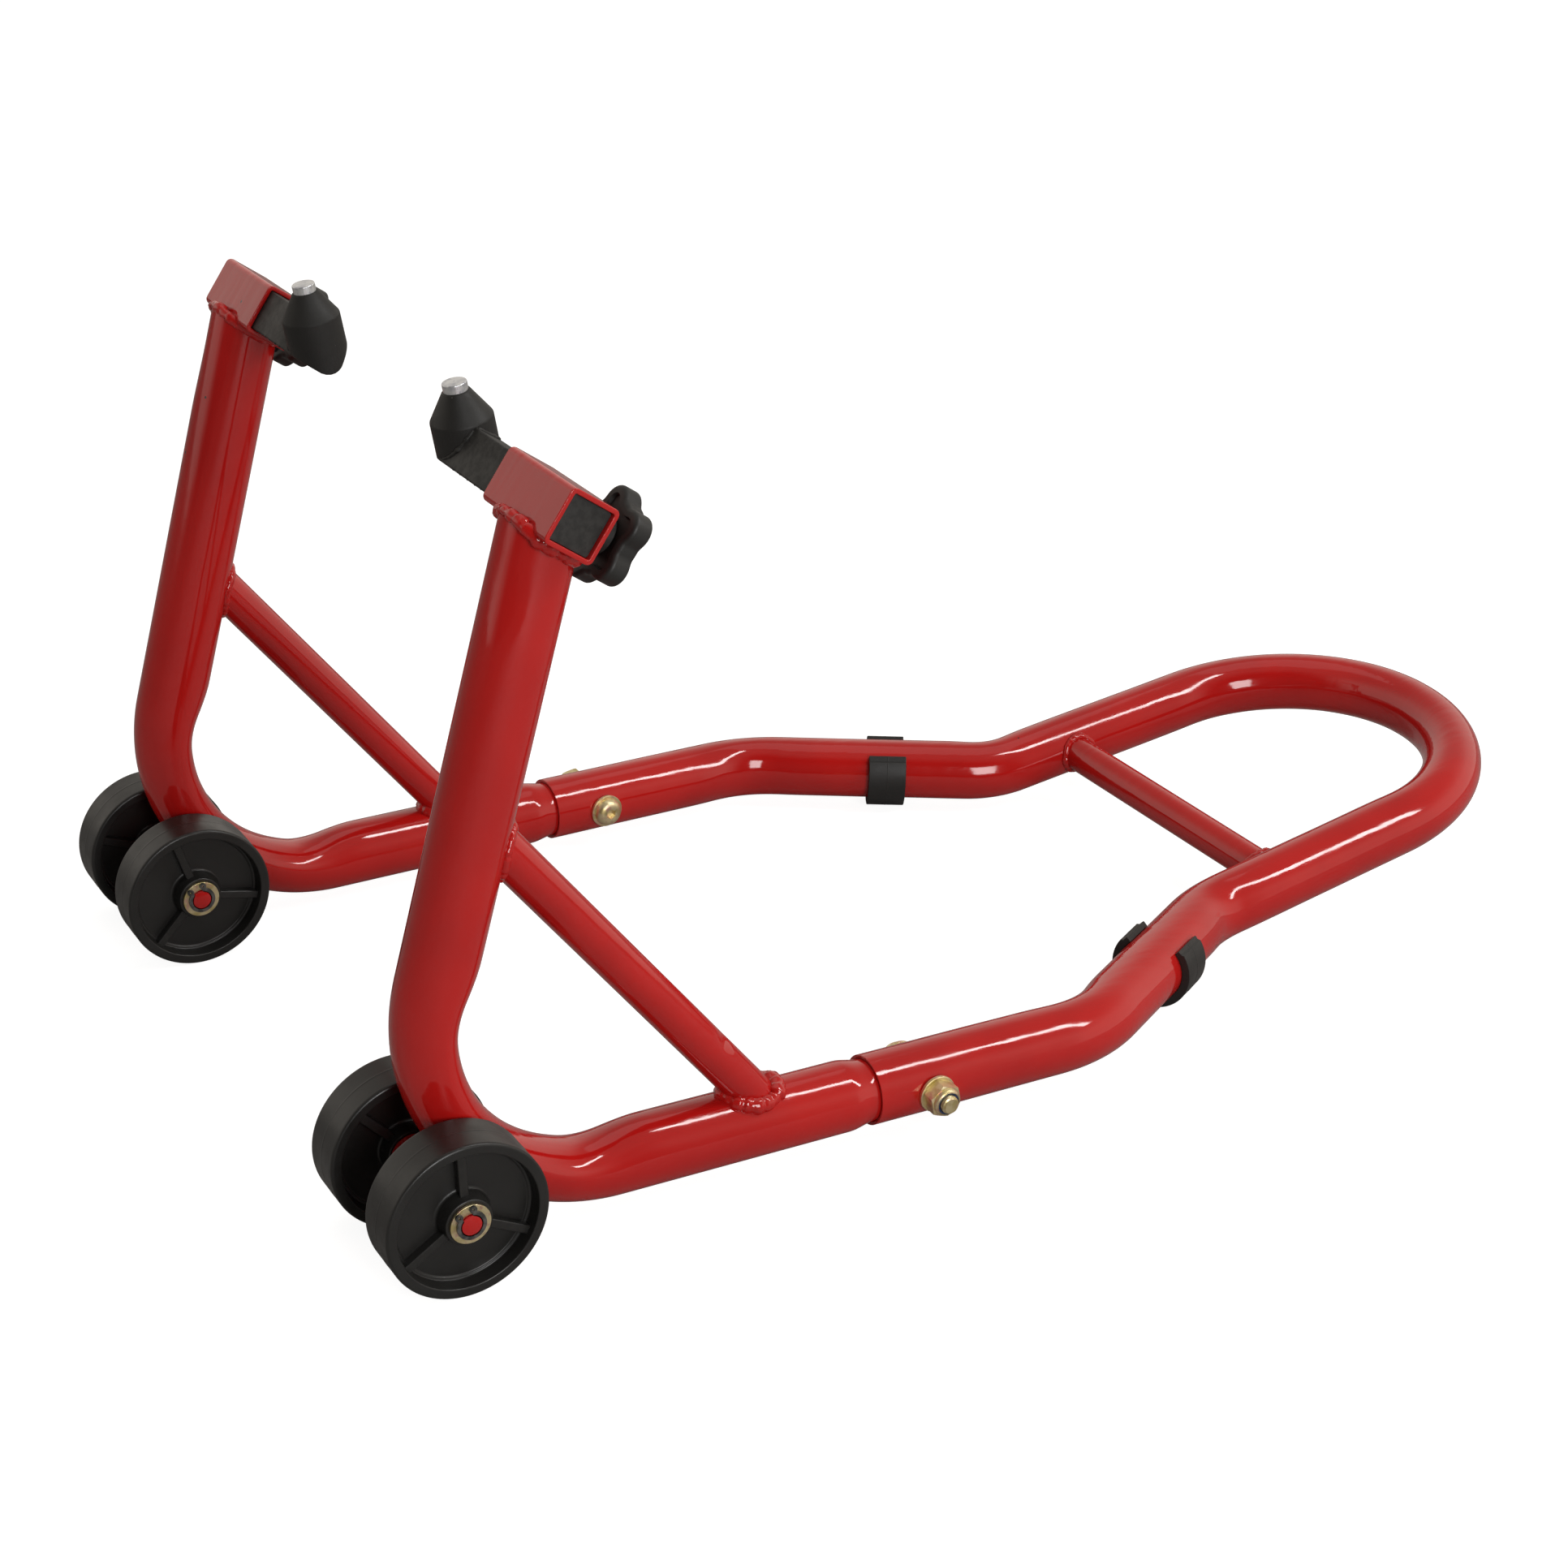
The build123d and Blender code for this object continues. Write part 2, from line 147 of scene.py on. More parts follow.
def blendColour(tree, mask, first, second):
    # the mix node has an A, a B and a result of each kind, so the colour ones go by number
    node = tree.nodes.new("ShaderNodeMix")
    node.data_type = "RGBA"
    colourA, colourB, colourOut = 6, 7, 2
    giveAll(tree, node, {"Factor": mask, colourA: first, colourB: second})
    return node.outputs[colourOut]


def stretched(tree, vector, scale):
    node = tree.nodes.new("ShaderNodeMapping")
    node.inputs["Scale"].default_value = scale
    tree.links.new(vector, node.inputs["Vector"])
    return node.outputs["Vector"]


def makeGrain():
    # fine and coarse unevenness of a surface: its height, and its roughness
    group, vector, given, made = newGroup(
        "surfaceGrain", {"Fine Scale": 900.0, "Coarse Scale": 160.0, "Fine Share": 0.4, "Roughness Low": 0.2,
                         "Roughness High": 0.4}, ("Height", "Roughness"))
    fine = noiseNode(group, vector, given["Fine Scale"], 3.0, 0.6)
    coarse = noiseNode(group, vector, given["Coarse Scale"], 1.0, 0.4)
    cloud = noiseNode(group, vector, 35.0, 4.0, 0.62)
    height = maths(group, "ADD", maths(group, "MULTIPLY", fine, given["Fine Share"]), coarse)
    rough = spread(group, cloud, 0.32, 0.68, given["Roughness Low"], given["Roughness High"])
    giveAll(group, made, {"Height": height, "Roughness": rough})
    return group


def makeSpecks():
    # scattered dots, such as grains of dust under the paint or pits in it
    group, vector, given, made = newGroup("scatteredSpecks", {"Scale": 120.0, "Size": 0.05, "Rarity": 0.8}, ("Mask",))
    cells = group.nodes.new("ShaderNodeTexVoronoi")
    giveAll(group, cells, {"Vector": vector, "Scale": given["Scale"]})
    dot = maths(group, "LESS_THAN", cells.outputs["Distance"], given["Size"])
    pick = group.nodes.new("ShaderNodeSeparateColor")
    group.links.new(cells.outputs["Color"], pick.inputs["Color"])
    chosen = maths(group, "GREATER_THAN", pick.outputs["Red"], given["Rarity"])
    give(group, maths(group, "MULTIPLY", dot, chosen), made.inputs["Mask"])
    return group


def makeEdgeWear():
    # a mask along sharp outer edges, broken up by noise
    group, vector, given, made = newGroup("edgeWear", {"Start": 0.53, "Full": 0.62}, ("Mask",))
    shape = group.nodes.new("ShaderNodeNewGeometry")
    edge = spread(group, shape.outputs["Pointiness"], given["Start"], given["Full"])
    broken = spread(group, noiseNode(group, vector, 260.0, 4.0, 0.6), 0.38, 0.62)
    give(group, maths(group, "MULTIPLY", edge, broken), made.inputs["Mask"])
    return group


grainGroup = makeGrain()
specksGroup = makeSpecks()
wearGroup = makeEdgeWear()


def useGroup(tree, group, vector, **values):
    node = tree.nodes.new("ShaderNodeGroup")
    node.node_tree = group
    giveAll(tree, node, {"Vector": vector, **values})
    return node


def bumpInto(tree, shader, height, distance):
    bump = tree.nodes.new("ShaderNodeBump")
    giveAll(tree, bump, {"Strength": 1.0, "Distance": distance, "Height": height})
    tree.links.new(bump.outputs["Normal"], shader.inputs["Normal"])


redPaint = {"body": (0.5, 0.0095, 0.008), "deep": (0.44, 0.008, 0.007), "pit": (0.05, 0.004, 0.004),
            "peel": 0.000016, "specular": 0.6, "draw": 0.0002, "drawScale": (0.22, 1.0, 0.1),
            "roughness": (0.06, 0.11)}


def makeRedPaint():
    material, tree, shader, vector = newMaterial("redPowderCoat")
    grain = useGroup(tree, grainGroup, vector, **{
        "Fine Scale": 620.0, "Coarse Scale": 130.0, "Fine Share": 0.22,
        "Roughness Low": redPaint["roughness"][0], "Roughness High": redPaint["roughness"][1]})
    tone = spread(tree, noiseNode(tree, vector, 14.0, 3.0), 0.35, 0.65)
    pits = useGroup(tree, specksGroup, vector, Scale=95.0, Size=0.085, Rarity=0.93)
    colour = blendColour(tree, tone, redPaint["deep"], redPaint["body"])
    colour = blendColour(tree, pits.outputs["Mask"], colour, redPaint["pit"])
    giveAll(tree, shader, {"Base Color": colour, "Roughness": grain.outputs["Roughness"],
                           "Specular IOR Level": redPaint["specular"]})
    # long shallow waves that the tube mill leaves along the tubes
    drawn = noiseNode(tree, stretched(tree, vector, redPaint["drawScale"]), 170.0, 2.0, 0.45)
    waves = maths(tree, "MULTIPLY", drawn, redPaint["draw"] / redPaint["peel"])
    height = maths(tree, "SUBTRACT", grain.outputs["Height"], pits.outputs["Mask"])
    bumpInto(tree, shader, maths(tree, "ADD", height, waves), redPaint["peel"])
    return material


def makeDarkFinish(name, body, worn, rough, fineScale, peel, specular=0.5, wear=0.35, dust=0.0):
    # black paint and black plastics differ in tone, grain, gloss and wear
    material, tree, shader, vector = newMaterial(name)
    grain = useGroup(tree, grainGroup, vector, **{
        "Fine Scale": fineScale, "Coarse Scale": fineScale / 6, "Fine Share": 0.8,
        "Roughness Low": rough[0], "Roughness High": rough[1]})
    edge = useGroup(tree, wearGroup, vector, Start=0.52, Full=0.6)
    lifted = maths(tree, "MULTIPLY", edge.outputs["Mask"], wear)
    colour = blendColour(tree, lifted, body, worn)
    if dust:
        specks = useGroup(tree, specksGroup, vector, Scale=210.0, Size=0.07, Rarity=1.0 - dust)
        colour = blendColour(tree, specks.outputs["Mask"], colour, worn)
    giveAll(tree, shader, {"Base Color": colour, "Roughness": grain.outputs["Roughness"],
                           "Specular IOR Level": specular})
    bumpInto(tree, shader, grain.outputs["Height"], peel)
    return material


def makePlatedSteel(name, tones, rough, streak):
    # zinc plate: two or three tones drift over the metal, with faint tool marks
    material, tree, shader, vector = newMaterial(name)
    drift = noiseNode(tree, vector, 170.0, 2.0, 0.5)
    colour = blendColour(tree, spread(tree, drift, 0.36, 0.52), tones[0], tones[1])
    second = noiseNode(tree, vector, 260.0, 2.0, 0.6)
    colour = blendColour(tree, spread(tree, second, 0.5, 0.68), colour, tones[2])
    marks = noiseNode(tree, stretched(tree, vector, streak), 900.0, 3.0, 0.6)
    giveAll(tree, shader, {"Base Color": colour, "Metallic": 1.0,
                           "Roughness": spread(tree, marks, 0.3, 0.7, *rough)})
    bumpInto(tree, shader, marks, 0.00003)
    return material


finishes = {
    "red_paint": makeRedPaint(),
    "black_paint": makeDarkFinish("mattBlackPaint", (0.0105, 0.0098, 0.0088), (0.075, 0.072, 0.068), (0.5, 0.68),
                                  900.0, 0.00004, 0.42, 0.3, 0.03),
    "wheel_plastic": makeDarkFinish("wheelPlastic", (0.012, 0.0114, 0.0105), (0.06, 0.058, 0.054), (0.3, 0.46),
                                    1400.0, 0.000015, 0.5, 0.18, 0.02),
    "black_plastic": makeDarkFinish("mouldedPlastic", (0.015, 0.0142, 0.013), (0.065, 0.062, 0.058), (0.42, 0.6),
                                    1600.0, 0.00003, 0.45, 0.25, 0.02),
    "yellow_zinc": makePlatedSteel("yellowZinc", ((0.66, 0.54, 0.25), (0.82, 0.7, 0.42), (0.72, 0.46, 0.34)),
                                   (0.32, 0.5), (1.0, 6.0, 1.0)),
    "bright_zinc": makePlatedSteel("brightZinc", ((0.66, 0.67, 0.7), (0.78, 0.79, 0.8), (0.56, 0.57, 0.62)),
                                   (0.32, 0.5), (4.0, 4.0, 0.6)),
    "blue_nylon": makeDarkFinish("blueNylon", (0.02, 0.04, 0.1), (0.05, 0.08, 0.16), (0.35, 0.5), 900.0, 0.00002),
    "black_spring_steel": makeDarkFinish("blackenedSteel", (0.02, 0.019, 0.018), (0.13, 0.12, 0.11), (0.3, 0.45),
                                         900.0, 0.00002, 0.7, 0.6),
}
print("materials done")


def nodeSlot(node):
    return next(part["material_slot"] for part in frame["record"]["subparts"] if part["node"] == node)


def finishPiece(shape, name, body, slot, replaced=(), mirrored=False, sharpAngle=32):
    bmesh.ops.remove_doubles(shape, verts=shape.verts, dist=1e-6)
    if mirrored:
        bmesh.ops.scale(shape, vec=(1, -1, 1), verts=shape.verts)
    bmesh.ops.recalc_face_normals(shape, faces=shape.faces)
    mesh = bpy.data.meshes.new(name)
    shape.to_mesh(mesh)
    shape.free()
    mesh.polygons.foreach_set("use_smooth", [True] * len(mesh.polygons))
    mesh.set_sharp_from_angle(angle=math.radians(sharpAngle))
    mesh.materials.append(finishes[slot])
    piece = bpy.data.objects.new(name, mesh)
    scene.collection.objects.link(piece)
    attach(piece, body)
    # large flat faces keep their own direction beside small rounded edges
    flatten = piece.modifiers.new("flatFaces", "WEIGHTED_NORMAL")
    flatten.weight = 90
    flatten.keep_sharp = True
    if replaced:
        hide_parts(*replaced)
    return piece


def bothSides(make, name, body, slot, node=None, **more):
    # the left piece and its mirror on the right; make gets the side's name, for small differences
    for side in ("left", "right"):
        replaced = (f"{side}_{node}",) if node else ()
        rides = f"{side}_{body}" if body != "frame" else "frame"
        finishPiece(make(side), side + name, rides, slot, replaced, side == "right", **more)


def facing(origin, axis, across=None):
    # a place whose own Z runs along the axis, and whose X lies along across
    axis = Vector(axis).normalized()
    across = Vector(across or (1, 0, 0))
    across = (across - axis * across.dot(axis)).normalized()
    matrix = Matrix((across, axis.cross(across), axis)).transposed().to_4x4()
    matrix.translation = Vector(origin)
    return matrix


def turned(profile, place, steps=64, closed=True):
    # a shape from the lathe: profile holds (radius, height, rounding), and rounding may be left out
    shape = bmesh.new()
    points = [shape.verts.new((point[0], 0, point[1])) for point in profile]
    for first, second in zip(points, points[1:]):
        shape.edges.new((first, second))
    if closed:
        shape.edges.new((points[-1], points[0]))
    for corner, point in zip(points, profile):
        if len(point) > 2:
            bmesh.ops.bevel(shape, geom=[corner], offset=point[2], segments=4, profile=0.5,
                            affect="VERTICES", material=-1)
    bmesh.ops.spin(shape, geom=shape.verts[:] + shape.edges[:], cent=(0, 0, 0), axis=(0, 0, 1),
                   angle=math.tau, steps=steps, use_merge=True)
    bmesh.ops.remove_doubles(shape, verts=shape.verts, dist=1e-6)
    move(shape, place)
    return shape


def scaleFlat(vert, scale):
    vert.co.x *= scale
    vert.co.y *= scale


def move(shape, place):
    bmesh.ops.transform(shape, matrix=place, verts=shape.verts)


def roundEdges(shape, edges, offset, segments, **more):
    return bmesh.ops.bevel(shape, geom=edges, offset=offset, segments=segments, profile=0.5, affect="EDGES",
                           material=-1, **more)


def sharperThan(shape, angle):
    return [edge for edge in shape.edges if len(edge.link_faces) == 2 and edge.calc_face_angle() > angle]


def extrudeRing(shape, edges):
    # the new points, and the edges of the new ring
    grown = bmesh.ops.extrude_edge_only(shape, edges=edges)["geom"]
    verts = only(grown, bmesh.types.BMVert)
    mine = set(verts)
    return verts, [edge for edge in only(grown, bmesh.types.BMEdge) if set(edge.verts) <= mine]


def capRing(shape, edges):
    bmesh.ops.contextual_create(shape, geom=edges)


def cutAway(shape, point, direction):
    # what lies beyond a plane is cut off, and the cut is closed
    cut = bmesh.ops.bisect_plane(shape, geom=allOf(shape), dist=1e-7, plane_co=point, plane_no=direction,
                                 clear_outer=True)["geom_cut"]
    capRing(shape, only(cut, bmesh.types.BMEdge))


def joined(shapes):
    # several shapes made one
    whole = bmesh.new()
    for part in shapes:
        temporary = bpy.data.meshes.new("part")
        part.to_mesh(temporary)
        part.free()
        whole.from_mesh(temporary)
        bpy.data.meshes.remove(temporary)
    return whole


def addBox(shape, size, place, rounding, segments):
    made = bmesh.ops.create_cube(shape, size=1.0)["verts"]
    bmesh.ops.scale(shape, vec=size, verts=made)
    edges = list({edge for vert in made for edge in vert.link_edges})
    faces = roundEdges(shape, edges, rounding, segments)["faces"]
    made = list({vert for face in faces for vert in face.verts} | {vert for vert in made if vert.is_valid})
    bmesh.ops.transform(shape, matrix=place, verts=made)


tube = {"radius": 0.019, "wall": 0.002, "lightRadius": 0.011, "lightWall": 0.0018, "sides": 72, "step": 0.005}
armBend = {"lean": 14.3, "radius": 0.0965, "flare": 1.24, "reach": 0.2447, "squash": 0.36, "lead": 0.018,
           "ramp": 0.046, "swage": 0.015, "spigotRadius": 0.01685, "spigot": 0.062,
           "flatTop": {"from": 0.006, "share": 0.09, "lead": 0.012, "fade": 0.04}}
handle = {"outerBend": 0.3885, "outerRadius": 0.0945, "neck": 0.532, "neckHalf": 0.1133, "neckRadius": 0.069,
          "rise": 9.4, "run": 0.2565, "hoopRadius": 0.1083, "squash": 0.16, "strengths": (1.0, 0.7, 0.5),
          "lead": 0.016, "ramp": 0.042, "boreDepth": 0.07}
brace = {"height": 0.2261, "slope": 50.8, "crossBar": 0.5875}

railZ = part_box("left_arm_tube")[0].z + tube["radius"]
armDir = Vector((math.sin(math.radians(armBend["lean"])), 0, math.cos(math.radians(armBend["lean"]))))
railDir = Vector((math.cos(math.radians(armBend["flare"])), -math.sin(math.radians(armBend["flare"])), 0))
bendCentreZ = railZ + armBend["radius"]
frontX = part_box("left_arm_tube")[0].x
armBendTangent = armBend["radius"] * math.tan((math.pi / 2 + math.radians(armBend["lean"])) / 2)
armCorner = Vector((frontX + tube["radius"] + armBend["radius"] - armBendTangent, armY, railZ))
housingCentre = boxCentre("left_bar_housing")
underHousing = span("left_bar_housing", coverDir)[0]
housingSide = span("left_bar_housing", clampDir)[1] - span("left_bar_housing", clampDir)[0]


def railPoint(reach):
    # a point on the lower rail's centreline, counted along X from the axle
    return armCorner + railDir * ((axleX + reach - armCorner.x) / railDir.x)


def hoopPoint(run, y):
    rise = math.radians(handle["rise"])
    return Vector((axleX + handle["neck"] + run * math.cos(rise), y, railZ + run * math.sin(rise)))


hoopRun = handle["run"] - handle["hoopRadius"]
hoopReach = math.hypot(hoopRun, handle["neckHalf"])
hoopTaper = math.atan2(handle["neckHalf"], hoopRun) - math.asin(handle["hoopRadius"] / hoopReach)
leftNeck = hoopPoint(0, -handle["neckHalf"])
leftSide = (hoopPoint(math.cos(hoopTaper), -(handle["neckHalf"] - math.sin(hoopTaper))) - leftNeck).normalized()
rightNeck = Vector((leftNeck.x, -leftNeck.y, leftNeck.z))
rightSide = Vector((leftSide.x, -leftSide.y, leftSide.z))
crossMiddle = hoopPoint((brace["crossBar"] - handle["neck"]) / math.cos(math.radians(handle["rise"])), 0)

def bendTube(corners, radii, radius, lastTurn=None):
    # rings laid one by one along straight runs and round each corner, as on a pipe bender
    shape = bmesh.new()
    heading = (corners[1] - corners[0]).normalized()
    start = facing(corners[0], heading, (0, 0, 1) if abs(heading.z) < 0.8 else (0, 1, 0))
    first = bmesh.ops.create_circle(shape, cap_ends=False, segments=tube["sides"], radius=radius, matrix=start)
    rings = [{"verts": first["verts"], "centre": corners[0].copy(), "at": 0.0}]
    edges = shape.edges[:]
    bends = []
    centre = corners[0].copy()
    at = 0.0

    def straightOn(target):
        nonlocal edges, centre, at
        run = target - centre
        count = max(1, round(run.length / tube["step"]))
        for _ in range(count):
            verts, edges = extrudeRing(shape, edges)
            bmesh.ops.translate(shape, vec=run / count, verts=verts)
            centre = centre + run / count
            at += run.length / count
            rings.append({"verts": verts, "centre": centre.copy(), "at": at})

    def roundTheBend(pivot, axis, angle):
        nonlocal edges, centre, at
        reach = (centre - pivot).length
        count = max(4, round(angle * reach / tube["step"] * 1.6))
        begin = at
        firstIn = (pivot - centre).normalized()
        turnStep = Matrix.Rotation(angle / count, 3, axis)
        for _ in range(count):
            verts, edges = extrudeRing(shape, edges)
            bmesh.ops.rotate(shape, cent=pivot, matrix=turnStep, verts=verts)
            centre = pivot + turnStep @ (centre - pivot)
            at += angle * reach / count
            rings.append({"verts": verts, "centre": centre.copy(), "at": at})
        bends.append({"start": begin, "end": at, "pivot": pivot, "firstIn": firstIn,
                      "lastIn": (pivot - centre).normalized()})

    for corner, following, bendRadius in zip(corners[1:], corners[2:], radii):
        before = (corner - centre).normalized()
        after = (following - corner).normalized()
        angle = before.angle(after)
        bendStart = corner - before * bendRadius * math.tan(angle / 2)
        straightOn(bendStart)
        inward = (after - before * after.dot(before)).normalized()
        roundTheBend(bendStart + inward * bendRadius, before.cross(after).normalized(), angle)
    straightOn(corners[-1])
    if lastTurn:
        roundTheBend(*lastTurn)
    return shape, rings, bends, edges


def pressBend(rings, bend, squash, lead, ramp, wrinkle=0.00014):
    # a bent tube goes flat on its inner side, with a soft shoulder at each end
    for ring in rings:
        share = smooth((ring["at"] - bend["start"] + lead) / ramp) * smooth((bend["end"] + lead - ring["at"]) / ramp)
        if share <= 0:
            continue
        inward = bend["firstIn"] if ring["at"] < bend["start"] else bend["lastIn"]
        if bend["start"] <= ring["at"] <= bend["end"]:
            inward = (bend["pivot"] - ring["centre"]).normalized()
        for vert in ring["verts"]:
            offset = vert.co - ring["centre"]
            depth = offset.dot(inward)
            if depth > 0:
                vert.co -= inward * depth * squash * share
            ripple = noise.noise(vert.co * 60) * wrinkle * share
            vert.co += offset.normalized() * ripple * max(0.15, depth / tube["radius"])


def openEnd(shape, edges, centre, direction, radius, depth=0.012):
    # a cut tube end: the wall's edge, a stretch of bore, and a bulkhead deep inside
    inner = (radius - tube["wall"]) / radius
    for shrink, push in ((1 - 0.0003 / radius, 0.0003), (inner + 0.0003 / radius, 0.0), (inner, -0.0003)):
        verts, edges = extrudeRing(shape, edges)
        for vert in verts:
            flat = vert.co - centre
            flat -= direction * flat.dot(direction)
            vert.co = centre + flat.normalized() * radius * shrink + direction * push
    verts, edges = extrudeRing(shape, edges)
    bmesh.ops.translate(shape, vec=-direction * depth, verts=verts)
    capRing(shape, edges)


def makeArmTube(side):
    top = armCorner + armDir * ((housingCentre.z - railZ) / armDir.z)
    joint = railPoint(armBend["reach"])
    swageStart = joint - railDir * armBend["swage"]
    shape, rings, bends, edges = bendTube([top, armCorner, swageStart], [armBend["radius"]], tube["radius"])
    pressBend(rings, bends[0], armBend["squash"], armBend["lead"], armBend["ramp"])
    # the arm's top is pressed a little flat on its outer face, where the housing is welded on
    pressDir = (outDir * 0.8 - clampDir * 0.6).normalized()
    flat = armBend["flatTop"]
    topCut = (top.dot(coverDir) - underHousing) / armDir.dot(coverDir)
    for ring in rings:
        share = 1 - smooth((ring["at"] - topCut - flat["lead"]) / flat["fade"])
        for vert in ring["verts"] if share > 0 else ():
            depth = (vert.co - ring["centre"]).dot(pressDir)
            if depth > flat["from"]:
                vert.co -= pressDir * (depth - flat["from"]) * flat["share"] * share
    # the swaged neck, and the spigot that enters the handle tube
    centre = swageStart.copy()
    steps = 8
    for step in range(1, steps + 1):
        verts, edges = extrudeRing(shape, edges)
        bmesh.ops.translate(shape, vec=railDir * armBend["swage"] / steps, verts=verts)
        centre = centre + railDir * armBend["swage"] / steps
        wanted = tube["radius"] + (armBend["spigotRadius"] - tube["radius"]) * smooth(step / steps)
        now = (verts[0].co - centre).length
        bmesh.ops.scale(shape, vec=Vector((1, 1, 1)) * wanted / now, verts=verts, space=Matrix.Translation(-centre))
    verts, edges = extrudeRing(shape, edges)
    bmesh.ops.translate(shape, vec=railDir * armBend["spigot"], verts=verts)
    openEnd(shape, edges, centre + railDir * armBend["spigot"], railDir, armBend["spigotRadius"])
    # the top is cut off under the housing, and closed by it and its weld
    cutAway(shape, coverDir * underHousing, coverDir)
    return shape


def makeHandleTube():
    joint = railPoint(armBend["reach"])
    tangent = math.sqrt(hoopReach ** 2 - handle["hoopRadius"] ** 2)
    hoopStart = hoopPoint(tangent * math.cos(hoopTaper), -(handle["neckHalf"] - tangent * math.sin(hoopTaper)))
    pivot = hoopPoint(hoopRun, 0)
    upward = (hoopPoint(1, 0) - hoopPoint(0, 0)).cross(Vector((0, 1, 0))).normalized()
    halfTurn = (hoopStart - pivot).angle(hoopPoint(handle["run"], 0) - pivot)
    shape, rings, bends, edges = bendTube(
        [joint, railPoint(handle["outerBend"]), leftNeck, hoopStart],
        [handle["outerRadius"], handle["neckRadius"]], tube["radius"], (pivot, upward, halfTurn))
    # the hoop is only half made here, so its bend doesn't fade out at its middle
    bends[-1]["end"] += 0.1
    for bend, strength in zip(bends, handle["strengths"]):
        pressBend(rings, bend, handle["squash"] * strength, handle["lead"], handle["ramp"])
    hoopEnd = set(edges)
    first = [edge for edge in shape.edges if edge.is_boundary and edge not in hoopEnd]
    openEnd(shape, first, joint, -railDir, tube["radius"], handle["boreDepth"])
    for edge in edges:
        for vert in edge.verts:
            vert.co.y = 0.0
    bmesh.ops.mirror(shape, geom=allOf(shape), merge_dist=1e-6, axis="Y")
    for vert in shape.verts:
        vert.co += vert.normal * noise.noise(vert.co * 22) * 0.00012
    return shape


def meetTube(point, direction, lineStart, lineDir, radius):
    # where a line from point first meets a round tube
    across = direction - lineDir * direction.dot(lineDir)
    apart = (point - lineStart) - lineDir * (point - lineStart).dot(lineDir)
    a, b, c = across.dot(across), 2 * across.dot(apart), apart.dot(apart) - radius ** 2
    return point + direction * ((-b - math.sqrt(max(0.0, b * b - 4 * a * c))) / (2 * a))


def copedTube(middle, axis, ends, count=44):
    # a light tube whose two ends are cut to fit the tubes they meet; ends hold (line start, line direction)
    shape = bmesh.new()
    bmesh.ops.create_circle(shape, cap_ends=False, segments=48, radius=tube["lightRadius"],
                            matrix=facing(middle, axis, (0, 1, 0) if abs(axis.y) < 0.8 else (0, 0, 1)))
    firstVerts = shape.verts[:]
    targets = [[meetTube(vert.co, way, *end, tube["radius"] - 0.0002) for vert in firstVerts]
               for way, end in zip((axis, -axis), ends)]
    startEdges = shape.edges[:]
    bases = [vert.co.copy() for vert in firstVerts]
    for target in targets:
        edges = startEdges
        for step in range(1, count + 1):
            verts, edges = extrudeRing(shape, edges)
            for vert in verts:
                nearest = min(range(len(bases)), key=lambda k: (
                    (vert.co - bases[k]) - axis * (vert.co - bases[k]).dot(axis)).length_squared)
                vert.co = bases[nearest].lerp(target[nearest], step / count)
    return shape


def solidWall(shape, thickness):
    bmesh.ops.recalc_face_normals(shape, faces=shape.faces)
    bmesh.ops.solidify(shape, geom=shape.faces[:], thickness=thickness)
    return shape


braceSlope = math.radians(brace["slope"])
braceDrop = brace["height"] - railZ
braceTop = armCorner + armDir * (braceDrop / armDir.z)
braceFoot = railPoint(braceTop.x - axleX + braceDrop / math.tan(braceSlope))
braceDir = (braceFoot - braceTop).normalized()
braceEnds = ((armCorner, railDir), (armCorner, armDir))


dent = {"share": 0.755, "width": 0.0045, "depth": 0.0009, "towards": Vector((0.35, -0.55, 0.75))}


def makeBrace(side):
    shape = solidWall(copedTube((braceTop + braceFoot) / 2, braceDir, braceEnds), tube["lightWall"])
    if side == "left":
        # one small dent in the left brace
        facingOut = (dent["towards"] - braceDir * dent["towards"].dot(braceDir)).normalized()
        place = braceTop.lerp(braceFoot, dent["share"]) + facingOut * tube["lightRadius"]
        for vert in shape.verts:
            near = (vert.co - place).length / dent["width"]
            vert.co -= facingOut * dent["depth"] * math.exp(-near * near)
    return shape


def makeCrossTube():
    ends = ((leftNeck, leftSide), (rightNeck, rightSide))
    return solidWall(copedTube(crossMiddle, outDir, ends, 30), tube["lightWall"])


# each bead: its radius, the length of one puddle, and the seeds of the left and the right one
weld = {"foot": (0.0045, 0.005, 5, 8), "top": (0.0025, 0.0042, 11, 3), "cross": (0.0024, 0.0046, 61, 70),
        "housing": (0.0034, 0.006, 21, 34), "head": (0.0013, 0.0034, 77, 78)}


def weldOf(kind, side):
    radius, pitch, leftSeed, rightSeed = weld[kind]
    return radius, pitch, leftSeed if side == "left" else rightSeed


